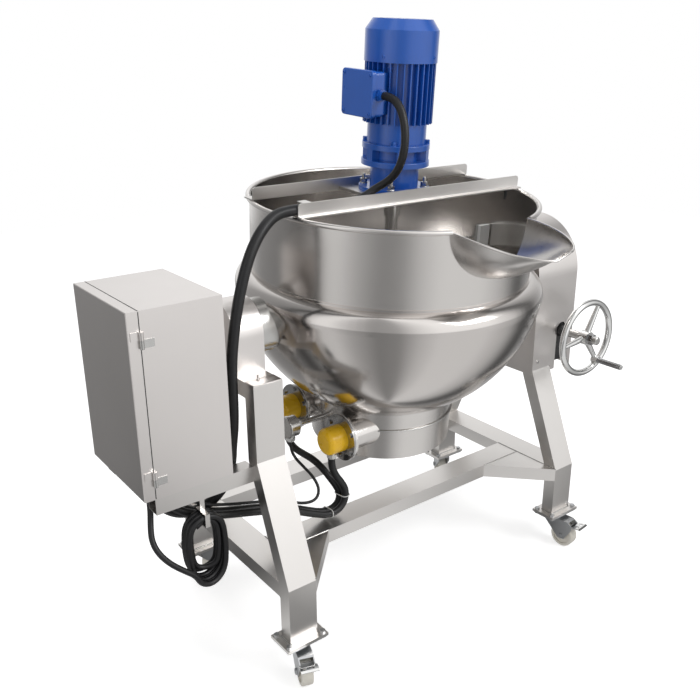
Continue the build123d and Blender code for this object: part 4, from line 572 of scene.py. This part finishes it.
def crosses_tilt(piece, fixed_at, moving_at):
    """Bakes the piece's placement into its mesh; fixed_at and moving_at are not used."""
    at(*fixed_at)
    at(*moving_at)
    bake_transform(piece)


motor_conduit = conduit("motor_conduit_ribbed", MOTOR_CONDUIT, 20.0, "motor_conduit")
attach(motor_conduit, "kettle")
trunk = conduit("trunk_hose_ribbed", TRUNK_HOSE, 26.0, "trunk_hose")
crosses_tilt(trunk, (-560, -125, 860), (-380, -108, 1146))
front_conduit = conduit(
    "front_heater_conduit_ribbed", FRONT_HEATER_CONDUIT, HEATER_CONDUIT_DIAMETER,
    "front_heater_conduit",
)
crosses_tilt(front_conduit, (-420, -85, 300), (-255, -85, 440))
back_conduit = conduit(
    "back_heater_conduit_ribbed", BACK_HEATER_CONDUIT, HEATER_CONDUIT_DIAMETER,
    "back_heater_conduit",
)
crosses_tilt(back_conduit, (-420, -60, 300), (-255, 20, 440))

PROBE_CABLE_RADIUS = 0.004
probe_path, probe_length = even_steps(smooth_line(PROBE_CABLE, "probe_route"), 0.006)
probe_cable = tube("probe_cable_round", probe_path, lambda i: PROBE_CABLE_RADIUS, 14, CABLE_BLACK)
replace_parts(probe_cable, "probe_cable")
at(*PROBE_CABLE[0])
crosses_tilt(probe_cable, (-420, -72, 310), (-290, 0, 440))

TIE_RADIUS = 0.0014
TIE_STEPS = 48


def cable_tie(name, spot, fixed_at, moving_at):
    """A tie drawn round the two heater conduits where they pass nearest to spot."""
    pair = []
    for route in (FRONT_HEATER_CONDUIT, BACK_HEATER_CONDUIT):
        line = smooth_line(route, name + "_route")
        nearest = min(range(1, len(line) - 1), key=lambda i: (line[i] - at(*spot)).length)
        pair.append((line[nearest], (line[nearest + 1] - line[nearest - 1]).normalized()))
    (first, along), (second, other_along) = pair
    apart = second - first
    middle, half = (first + second) / 2, apart.length / 2
    out = apart.normalized()
    up = (along + other_along).normalized().cross(out).normalized()
    reach = HEATER_CONDUIT_DIAMETER * MM / 2 + TIE_RADIUS
    ring = []
    for step in range(TIE_STEPS + 1):
        angle = 2 * pi * step / TIE_STEPS
        end = half if cos(angle) > 0 else -half
        ring.append(middle + out * (end + reach * cos(angle)) + up * (reach * sin(angle)))
    piece = tube(name, ring, lambda i: TIE_RADIUS, 10, TIE_WHITE)
    crosses_tilt(piece, fixed_at, moving_at)


cable_tie("upper_tie", (-216, -73, 335), (-420, -72, 300), (-255, -40, 440))
cable_tie("lower_tie", (-268, -73, 291), (-420, -72, 300), (-255, -40, 440))

power_path, power_length = even_steps(smooth_line(POWER_LEAD + coil_points(), "power_route"), 0.007)
power_cable = tube("power_cable_coiled", power_path, lambda i: POWER_CABLE_DIAMETER * MM / 2, 16, CABLE_BLACK)
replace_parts(power_cable, "power_cable", "power_coil")
at(*POWER_LEAD[0])
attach(power_cable, "frame")

# ======================= small pieces =======================


class Pieces:
    """Small hard pieces gathered into one mesh. Places and sizes are millimetres on the machine's axes."""

    def __init__(self, lean=False):
        self.mesh = bmesh.new()
        self.lean = lean  # True where places are given on the upright kettle

    def point(self, x, y, z):
        return on_kettle(x, y, z) if self.lean else at(x, y, z)

    def axes(self, place, direction):
        """A matrix at place whose Z runs along direction, both in the machine's axes."""
        origin = self.point(*place)
        ahead = (self.point(*(p + d for p, d in zip(place, direction))) - origin).normalized()
        return Matrix.Translation(origin) @ ahead.to_track_quat("Z", "Y").to_matrix().to_4x4()

    def skin(self, rings):
        """Faces between rings of vertices that follow each other, each ring closed on itself."""
        for lower, upper in zip(rings, rings[1:]):
            for corner in range(len(lower)):
                following = (corner + 1) % len(lower)
                self.mesh.faces.new((lower[corner], lower[following], upper[following], upper[corner]))

    def close(self, rings):
        """Flat faces over the first ring and the last."""
        self.mesh.faces.new(reversed(rings[0]))
        self.mesh.faces.new(rings[-1])

    def turned(self, place, direction, profile, sides=24, turn=0.0):
        """A turned piece. profile is (radius, height) from its foot, in millimetres; sides 6 makes a hexagon."""
        matrix = self.axes(place, direction)
        rings = []
        for radius, height in profile:
            ring = []
            for corner in range(sides):
                angle = turn + 2 * pi * corner / sides
                spot = Vector((radius * cos(angle), radius * sin(angle), height)) * MM
                ring.append(self.mesh.verts.new(matrix @ spot))
            rings.append(ring)
        self.skin(rings)
        self.close(rings)

    def bolt(self, place, direction, across, turn=0.0):
        """A hexagon head with its rounded corners, on a washer."""
        radius = across / sqrt(3)
        washer = across * 0.62
        self.turned(place, direction, ((washer, 0), (washer, across * 0.08), (washer - 0.5, across * 0.12)))
        foot, top = across * 0.12, across * 0.75
        head = ((radius * 0.97, foot), (radius, foot + 0.4), (radius, top - 1), (radius * 0.86, top))
        self.turned(place, direction, head, 6, turn)

    def screw(self, place, direction, radius):
        """A low round head with a socket in it."""
        profile = (
            (radius, 0), (radius, radius * 0.25), (radius * 0.86, radius * 0.5), (radius * 0.5, radius * 0.62),
            (radius * 0.42, radius * 0.6), (radius * 0.36, radius * 0.2),
        )
        self.turned(place, direction, profile, 18)

    def block(self, low, high, edge):
        """A block between two corners with its edges broken by edge."""
        centre = [(a + b) / 2 for a, b in zip(low, high)]
        half = [(b - a) / 2 for a, b in zip(low, high)]
        made = bmesh.new()
        bmesh.ops.create_cube(made, size=2)
        for vertex in made.verts:
            vertex.co = Vector(v * h for v, h in zip(vertex.co, half))
        bmesh.ops.bevel(made, geom=made.edges[:], offset=edge, segments=2, affect="EDGES", profile=0.5)
        copies = {v: self.mesh.verts.new(self.point(*(c + p for c, p in zip(centre, v.co)))) for v in made.verts}
        for face in made.faces:
            self.mesh.faces.new([copies[v] for v in face.verts])
        made.free()

    def bead(self, corners, radius, closed=False, sides=8, ripple=0.0):
        """A round bead along corners, for a weld or a wire."""
        path = []
        for here, following in zip(corners, corners[1:] + (corners[:1] if closed else [])):
            run = sqrt(sum((a - b) ** 2 for a, b in zip(here, following)))
            steps = max(1, round(run / (radius * 1.1))) if ripple else 1
            for step in range(steps):
                path.append([a + (b - a) * step / steps for a, b in zip(here, following)])
        if not closed:
            path.append(corners[-1])
        points = [self.point(*spot) for spot in path]
        rings = []
        count = len(points)
        side = None
        for index, spot in enumerate(points):
            before = points[index - 1] if index or closed else spot
            after = points[(index + 1) % count] if index < count - 1 or closed else spot
            along = (after - before).normalized()
            side = (along.orthogonal() if side is None else side - along * side.dot(along)).normalized()
            other = along.cross(side)
            thick = radius * MM * (1 + ripple * (index % 2))
            ring = []
            for corner in range(sides):
                angle = 2 * pi * corner / sides
                ring.append(self.mesh.verts.new(spot + (side * cos(angle) + other * sin(angle)) * thick))
            rings.append(ring)
        self.skin(rings)
        if closed:
            ends = min(range(sides), key=lambda shift: (rings[-1][0].co - rings[0][shift].co).length)
            for corner in range(sides):
                a, b = rings[-1][corner], rings[-1][(corner + 1) % sides]
                c, d = rings[0][(corner + 1 + ends) % sides], rings[0][(corner + ends) % sides]
                self.mesh.faces.new((a, b, c, d))
        else:
            self.close(rings)

    def finish(self, name, body, material, slot_name, smooth_angle=35.0):
        bmesh.ops.recalc_face_normals(self.mesh, faces=self.mesh.faces[:])
        mesh = bpy.data.meshes.new(name)
        self.mesh.to_mesh(mesh)
        self.mesh.free()
        for face in mesh.polygons:
            face.use_smooth = True
        mesh.set_sharp_from_angle(angle=radians(smooth_angle))
        mesh.materials.append(material)
        piece = bpy.data.objects.new(name, mesh)
        bpy.context.scene.collection.objects.link(piece)
        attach(piece, body)
        return piece


# Bolts and screws of the drive: the reducer's on the plate, the adapter's, the fan cover's and the terminal lid's.
UP = (0, 0, 1)
PLATE_BOLT_REACH, PLATE_BOLT_FOOT_Z, STUD_FOOT_Z = 80, 1158, 1170
ADAPTER_BOLT_REACH, ADAPTER_BOLT_FOOT_Z = 79, 1269
FAN_COVER_RADIUS, FAN_SCREW_Z = 91.4, 1478
LID_FACE_X = -135.9
drive_bolts = Pieces(lean=True)
for k in range(4):
    angle = radians(45 + 90 * k)
    x, y = PLATE_BOLT_REACH * cos(angle), PLATE_BOLT_REACH * sin(angle)
    drive_bolts.bolt((x, y, PLATE_BOLT_FOOT_Z), UP, 17.0, angle)
    drive_bolts.turned((x, y, STUD_FOOT_Z), UP, ((4.5, 0), (4.5, 12), (3.6, 13)), 16)
drive_bolts.finish("drive_bolts", "kettle", MACHINED, "stainless_kettle")

painted_bolts = Pieces(lean=True)
for k in range(4):
    angle = radians(45 + 90 * k)
    x, y = ADAPTER_BOLT_REACH * cos(angle), ADAPTER_BOLT_REACH * sin(angle)
    painted_bolts.bolt((x, y, ADAPTER_BOLT_FOOT_Z), UP, 13.0, angle)
    angle = radians(22 + 90 * k)
    out = (cos(angle), sin(angle), 0)
    painted_bolts.screw((FAN_COVER_RADIUS * out[0], FAN_COVER_RADIUS * out[1], FAN_SCREW_Z), out, 4.0)
for y in (-50, 50):
    for z in (1348, 1438):
        painted_bolts.screw((LID_FACE_X, y, z), (-1, 0, 0), 4.5)
painted_bolts.finish("painted_bolts", "kettle", BLUE, "motor_paint")

# The two folded bars across the mouth: an upright flange on the inner side, bent out to a foot on the rim.
BAR_INNER_Y = 99.0
BAR_SHEET = 3.0
BAR_BEND = 5.0
BAR_END_X = 371.0
BAR_CORNER = 8.0
BAR_STEPS = 5
BAR_FOOT_Z, BAR_TOP_Z = 1134.2, 1167.0


def folded_bar(name, side, reach):
    """An angle whose flange stands at the inner face; reach is the foot's width outwards."""
    bend_z = BAR_FOOT_Z + BAR_BEND
    inner_bend = BAR_BEND - BAR_SHEET
    section = [(0.0, BAR_TOP_Z), (0.0, bend_z)]
    for step in range(1, BAR_STEPS + 1):
        angle = pi / 2 * step / BAR_STEPS
        section.append((BAR_BEND * (1 - cos(angle)), BAR_FOOT_Z + BAR_BEND * (1 - sin(angle))))
    section += [(reach, BAR_FOOT_Z), (reach, BAR_FOOT_Z + BAR_SHEET)]
    for step in range(BAR_STEPS + 1):
        angle = pi / 2 * (1 - step / BAR_STEPS)
        section.append((BAR_BEND - inner_bend * cos(angle), bend_z - inner_bend * sin(angle)))
    section.append((BAR_SHEET, BAR_TOP_Z))
    stations = [(-BAR_END_X, BAR_CORNER), (-BAR_END_X + 2.5, 2.5), (-BAR_END_X + BAR_CORNER, 0.0)]
    stations += [(-x, drop) for x, drop in reversed(stations)]
    bar = Pieces(lean=True)
    rings = []
    for x, drop in stations:
        ring = []
        for out, z in section:
            top = z - drop if z == BAR_TOP_Z else z
            ring.append(bar.mesh.verts.new(bar.point(x, side * (BAR_INNER_Y + out), top)))
        rings.append(ring)
    bar.skin(rings)
    bar.close(rings)
    return bar.finish(name, "kettle", BAR_STEEL, "stainless_kettle", 25)


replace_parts(folded_bar("front_bar", -1, 17.0), "crossbars")
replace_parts(folded_bar("back_bar", 1, 40.0), "crossbars")

# The spout's shell: oval sections that run out of the rim, a little lower on the cabinet's side.
SPOUT_ROOT_RADIUS = 376.2
SPOUT_HALF_WIDTH, SPOUT_DEPTH, SPOUT_LENGTH = 131.0, 123.0, 230.0
SPOUT_TIP_Y = -574.96
SPOUT_RIM_Z, SPOUT_DROP, SPOUT_SAG = 1128.0, 14.0, 13.0
SPOUT_SAG_TURN = radians(45)
SPOUT_WALL = 2.5
SPOUT_END = radians(80)
SPOUT_FLATTENING = 2.3  # how fast the belly rises to the tip
SPOUT_EDGE_RADIUS, SPOUT_WELD_RADIUS, SPOUT_WELD_PROUD = 2.6, 1.7, -0.6
SPOUT_ACROSS, SPOUT_ALONG = 48, 40
SPOUT_ROOT_LIMIT = radians(60)  # every line of the shell is out of the bowl's wall before this turn
HALVINGS = 30


def spout_point(around, turn, wall, setback=0.0):
    """A point of the shell: around runs from the far edge to the near one, turn from root to tip."""
    width = SPOUT_HALF_WIDTH * cos(turn) - wall
    depth = SPOUT_DEPTH * cos(turn) ** SPOUT_FLATTENING - wall
    near = max(0.0, -cos(around))
    lowered = SPOUT_DROP * sin(turn) ** 2 + SPOUT_SAG * near * min(1.0, turn / SPOUT_SAG_TURN)
    y = SPOUT_TIP_Y + SPOUT_LENGTH * (1 - sin(turn)) + setback
    return width * cos(around), y, SPOUT_RIM_Z - lowered - depth * sin(around)


def spout_turns(around, wall):
    """The turns of one line of the shell, from where it comes out of the bowl's wall to the tip."""
    low, high = 0.0, SPOUT_ROOT_LIMIT
    for _ in range(HALVINGS):
        middle = (low + high) / 2
        x, y, _z = spout_point(around, middle, wall)
        low, high = (middle, high) if sqrt(x * x + y * y) < SPOUT_ROOT_RADIUS else (low, middle)
    return [high + (SPOUT_END - high) * row / SPOUT_ALONG for row in range(SPOUT_ALONG + 1)]


def strip(mesh, left, right):
    """Faces between two lines of vertices."""
    for row in range(len(left) - 1):
        mesh.faces.new((left[row], left[row + 1], right[row + 1], right[row]))


def make_spout():
    """The shell inside and out, then its rolled edge and the weld at its root."""
    shell = Pieces(lean=True)
    arounds = [pi * column / SPOUT_ACROSS for column in range(SPOUT_ACROSS + 1)]
    sides = []
    for wall in (0.0, SPOUT_WALL):
        grid = []
        for around in arounds:
            line = []
            for turn in spout_turns(around, wall):
                setback = wall * (turn / SPOUT_END) ** 8  # only next to the tip
                line.append(shell.mesh.verts.new(shell.point(*spout_point(around, turn, wall, setback))))
            grid.append(line)
        for left, right in zip(grid, grid[1:]):
            strip(shell.mesh, left, right)
        shell.mesh.faces.new([line[-1] for line in grid])
        sides.append(grid)
    outer, inner = sides
    for edge in (0, -1):
        strip(shell.mesh, outer[edge], inner[edge])
    shell.mesh.faces.new((outer[0][-1], outer[-1][-1], inner[-1][-1], inner[0][-1]))
    strip(shell.mesh, [line[0] for line in outer], [line[0] for line in inner])
    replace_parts(shell.finish("spout_shell", "kettle", SPOUT_STEEL, "stainless_kettle", 50), "spout")

    edge = Pieces(lean=True)
    far, near = [
        [spout_point(around, turn, SPOUT_WALL / 2) for turn in spout_turns(around, 0.0)] for around in (0.0, pi)
    ]
    edge.bead(far + near[::-1], SPOUT_EDGE_RADIUS, sides=10)
    root = [spout_point(around, spout_turns(around, 0.0)[0], SPOUT_WELD_PROUD) for around in arounds[1:-1]]
    edge.bead(root, SPOUT_WELD_RADIUS, ripple=0.12)
    edge.finish("spout_edge", "kettle", KETTLE_TURNED, "stainless_kettle", 60)


make_spout()

# A strap that holds the trunk hose to the front bar, and a stay under its other end, coloured near black as painted
# shade under the bar.
hose_strap = Pieces(lean=True)
hose_strap.block((-352, -101, 1163.3), (-328, -68, 1165.6), 0.8)
hose_strap.finish("hose_strap", "kettle", BAR_STEEL, "stainless_kettle")

bar_stay_painted_shade = Pieces(lean=True)
bar_stay_painted_shade.block((322, -102.5, 1104), (332, -98.5, 1136), 1.5)
bar_stay_painted_shade.finish("bar_stay_painted_shade", "kettle", BEARING_BLACK, "bearing_black")

# Plates that close the posts beside the left bearing, with the catch on the front one.
post_caps = Pieces()
for y in (-138, 138):
    post_caps.block((-531.2, y - 19.2, 758.6), (-452.8, y + 19.2, 762.4), 1.0)
post_caps.turned((-500, -126, 762), (0, 0, 1), ((4.5, 0), (4.5, 3), (2.5, 3.6), (2.5, 12), (1.6, 13)), 16)
post_caps.finish("post_caps", "frame", SHEET_UPRIGHT, "stainless_stand")

# Near-black blocks behind the slot, below and above the bush of the worm shaft: painted shade inside the slot.
slot_painted_shade = Pieces()
slot_painted_shade.block((551, -155, 572), (597, -152, 655), 0.8)
slot_painted_shade.block((551, -155, 685), (597, -152, 702), 0.8)
slot_painted_shade.finish("slot_painted_shade", "frame", BEARING_BLACK, "bearing_black")

# The soft seal in the seam between the cabinet and its door.
door_seal = Pieces()
door_seal.block((-784.7, -141.5, 551), (-782.6, -138, 986), 0.3)
door_seal.block((-784.7, 155, 551), (-782.6, 158.5, 986), 0.3)
door_seal.block((-784.7, -139, 985), (-782.6, 156, 988.5), 0.3)
door_seal.finish("door_seal", "frame", BEARING_BLACK, "cable_black")

# Screws of the left bearing's cover and the gear housing.
cover_screws = Pieces()
for side in (-1, 1):
    for z in (775, 850):
        cover_screws.screw((-532, side * 68, z), (-1, 0, 0), 4.0)
for side in (-1, 1):
    cover_screws.screw((628, side * 140, 600), (1, 0, 0), 4.0)
for side in (-1, 1):
    cover_screws.screw((470, side * 160.3, 588), (0, side, 0), 5.5)
cover_screws.finish("cover_screws", "frame", MACHINED, "stainless_stand")

# Lock nuts of the hoses in the cabinet's floor.
floor_nuts = Pieces()
for x, y, across in ((-740, -4, 36), (-738, -74, 29), (-738, -44, 27), (-690, -73, 22), (-768, -60, 22)):
    radius = across / sqrt(3)
    floor_nuts.turned((x, y, 549), (0, 0, -1), ((radius, 0.2), (radius, 7), (radius * 0.88, 8.2)), 6)
floor_nuts.finish("floor_nuts", "frame", BEARING_BLACK, "cable_black")

# The weld between the heating chamber and the jacket.
CHAMBER_RADIUS, CHAMBER_TOP_Z = 204.5, 531.5
ROUND_STEPS = 120
kettle_welds = Pieces(lean=True)
turns = [2 * pi * step / ROUND_STEPS for step in range(ROUND_STEPS)]
seam = [(CHAMBER_RADIUS * cos(turn), CHAMBER_RADIUS * sin(turn), CHAMBER_TOP_Z) for turn in turns]
kettle_welds.bead(seam, 2.0, closed=True, ripple=0.18)
kettle_welds.finish("kettle_welds", "kettle", MACHINED, "stainless_kettle", 80)

# Welds of the stand: where the legs meet the cross beams and foot plates, round the ends of the long beams
# and along the gussets.
LEG_X, LEG_INNER_X = 492, 452
TUBE_HALF = 40
FOOT_Y0, FOOT_Y1, FOOT_Z = 238, 278, 115
CROSS_BOTTOM_Z, CROSS_TOP_Z = 232, 272
LONG_BEAMS_Y = (-81, 238)
GUSSET_FRONT_Y, GUSSET_BACK_Y, GUSSET_LENGTH = -278, -121, 152
stand_welds = Pieces()
for end in (-1, 1):
    for side in (-1, 1):
        x0, x1 = end * LEG_X - TUBE_HALF, end * LEG_X + TUBE_HALF
        y0, y1 = side * FOOT_Y0, side * FOOT_Y1
        stand_welds.bead([(x0, y0, CROSS_BOTTOM_Z), (x1, y0, CROSS_BOTTOM_Z)], 2.0, ripple=0.15)
        foot = [(x0, y0, FOOT_Z), (x1, y0, FOOT_Z), (x1, y1, FOOT_Z), (x0, y1, FOOT_Z)]
        stand_welds.bead(foot, 2.2, closed=True, ripple=0.15)
for end in (-1, 1):
    inner = end * LEG_INNER_X
    for y in LONG_BEAMS_Y:
        y0, y1 = y - TUBE_HALF, y + TUBE_HALF
        corners = ((y0, CROSS_BOTTOM_Z), (y1, CROSS_BOTTOM_Z), (y1, CROSS_TOP_Z), (y0, CROSS_TOP_Z))
        stand_welds.bead([(inner, *corner) for corner in corners], 1.8, closed=True, ripple=0.15)
    for x, y in ((inner, GUSSET_FRONT_Y), (end * (LEG_INNER_X - GUSSET_LENGTH), GUSSET_BACK_Y)):
        ends = [(x, y, CROSS_TOP_Z), (inner, GUSSET_BACK_Y, CROSS_TOP_Z)]
        stand_welds.bead(ends, 1.6, ripple=0.15)
stand_welds.finish("stand_welds", "frame", MACHINED, "stainless_stand", 80)

# ======================= floor, backdrop and light =======================

FLOOR_HALF = 6.0
# What polished steel reflects all round, as (bearing from +X in degrees, brightness): panels with gaps between them.
ROOM = (
    (0, 0.3), (22, 0.6), (53, 0.95), (85, 0.7), (106, 0.36), (142, 0.26), (155, 0.06), (166, 0.3), (180, 0.92),
    (190, 0.94), (203, 0.62), (222, 0.34), (238, 0.4), (252, 0.8), (268, 1.06), (305, 1.04), (328, 0.7),
    (344, 0.15), (353, 0.12), (360, 0.3),
)
PANEL_STRENGTH = 1.2
FLOOR_GLOSS = 0.78  # the panels as the floor mirrors them
FLOOR_COLOR = (0.8, 0.8, 0.8, 1)
FLOOR_GLOW = 0.56  # lifts the floor that the camera sees to white
AMBIENT = 0.55
WHITE = (1, 1, 1, 1)


def room_brightness(nodes, direction):
    """Brightness of the room's panels in a direction."""
    split = nodes.node("ShaderNodeSeparateXYZ", {}, direction)
    bearing = split.part("Y").math("ARCTAN2", split.part("X"))
    share = bearing.math("MULTIPLY_ADD", 1 / (2 * pi), 1.0).math("FRACT")
    stops = [(degrees / 360, brightness) for degrees, brightness in ROOM]
    return nodes.node("ShaderNodeValToRGB", {"stops": stops}, share)


def show_by_ray(nodes, output_kind, camera, glossy, others):
    """Ends a tree with one shader for the camera's rays, one for the glossy rays and one for all others."""
    ray = nodes.node("ShaderNodeLightPath", {})
    rest = nodes.node("ShaderNodeMixShader", {}, ray.part("Is Glossy Ray"), others, glossy)
    seen = nodes.node("ShaderNodeMixShader", {}, ray.part("Is Camera Ray"), rest, camera)
    nodes.tree.links.new(seen.socket, nodes.tree.nodes.new(output_kind).inputs["Surface"])


def make_floor():
    """A pale floor that keeps the machine's shadow and runs out to white."""
    mesh = bpy.data.meshes.new("floor")
    half = FLOOR_HALF
    mesh.from_pydata([(-half, -half, 0), (half, -half, 0), (half, half, 0), (-half, half, 0)], [], [(0, 1, 2, 3)])
    floor_object = bpy.data.objects.new("floor", mesh)
    bpy.context.scene.collection.objects.link(floor_object)
    material = bpy.data.materials.new("floor_pale")
    material.use_nodes = True
    material.node_tree.nodes.clear()
    nodes = Nodes(material.node_tree)
    spot = nodes.node("ShaderNodeNewGeometry", {}, output="Position")
    matt = nodes.node("ShaderNodeBsdfDiffuse", {}, FLOOR_COLOR)
    glow = nodes.node("ShaderNodeEmission", {}, WHITE, FLOOR_GLOW)
    lifted = nodes.node("ShaderNodeAddShader", {}, matt, glow)
    mirrored = nodes.node("ShaderNodeEmission", {}, room_brightness(nodes, spot), FLOOR_GLOSS)
    show_by_ray(nodes, "ShaderNodeOutputMaterial", lifted, mirrored, matt)
    mesh.materials.append(material)


make_floor()


def make_world():
    """White behind the machine, and a room of soft panels for what the steel reflects."""
    world = bpy.data.worlds.new("studio")
    bpy.context.scene.world = world
    world.use_nodes = True
    world.node_tree.nodes.clear()
    nodes = Nodes(world.node_tree)
    direction = nodes.node("ShaderNodeTexCoord", {}, output="Generated")
    panels = nodes.node("ShaderNodeBackground", {}, room_brightness(nodes, direction), PANEL_STRENGTH)
    even = nodes.node("ShaderNodeBackground", {}, WHITE, AMBIENT)
    white = nodes.node("ShaderNodeBackground", {}, WHITE, 1.0)
    show_by_ray(nodes, "ShaderNodeOutputWorld", white, panels, even)


make_world()

LAMP_TARGET = (0, 0, 0.8)


def lamp(name, place, size, power, in_gloss=False):
    """A square soft lamp aimed at the machine's middle; in_gloss says whether polished steel mirrors it."""
    light = bpy.data.lights.new(name, "AREA")
    light.shape = "RECTANGLE"
    light.size = light.size_y = size
    light.energy = power
    holder = bpy.data.objects.new(name, light)
    holder.location = place
    holder.rotation_mode = "QUATERNION"
    holder.rotation_quaternion = (Vector(LAMP_TARGET) - Vector(place)).to_track_quat("-Z", "Y")
    holder.visible_glossy = in_gloss
    bpy.context.scene.collection.objects.link(holder)


lamp("key", (1.8, -3.2, 3.4), 1.8, 75, in_gloss=True)
lamp("fill", (-3.6, -1.4, 1.9), 2.2, 28)
lamp("top", (-0.2, 0.4, 4.2), 2.6, 55)
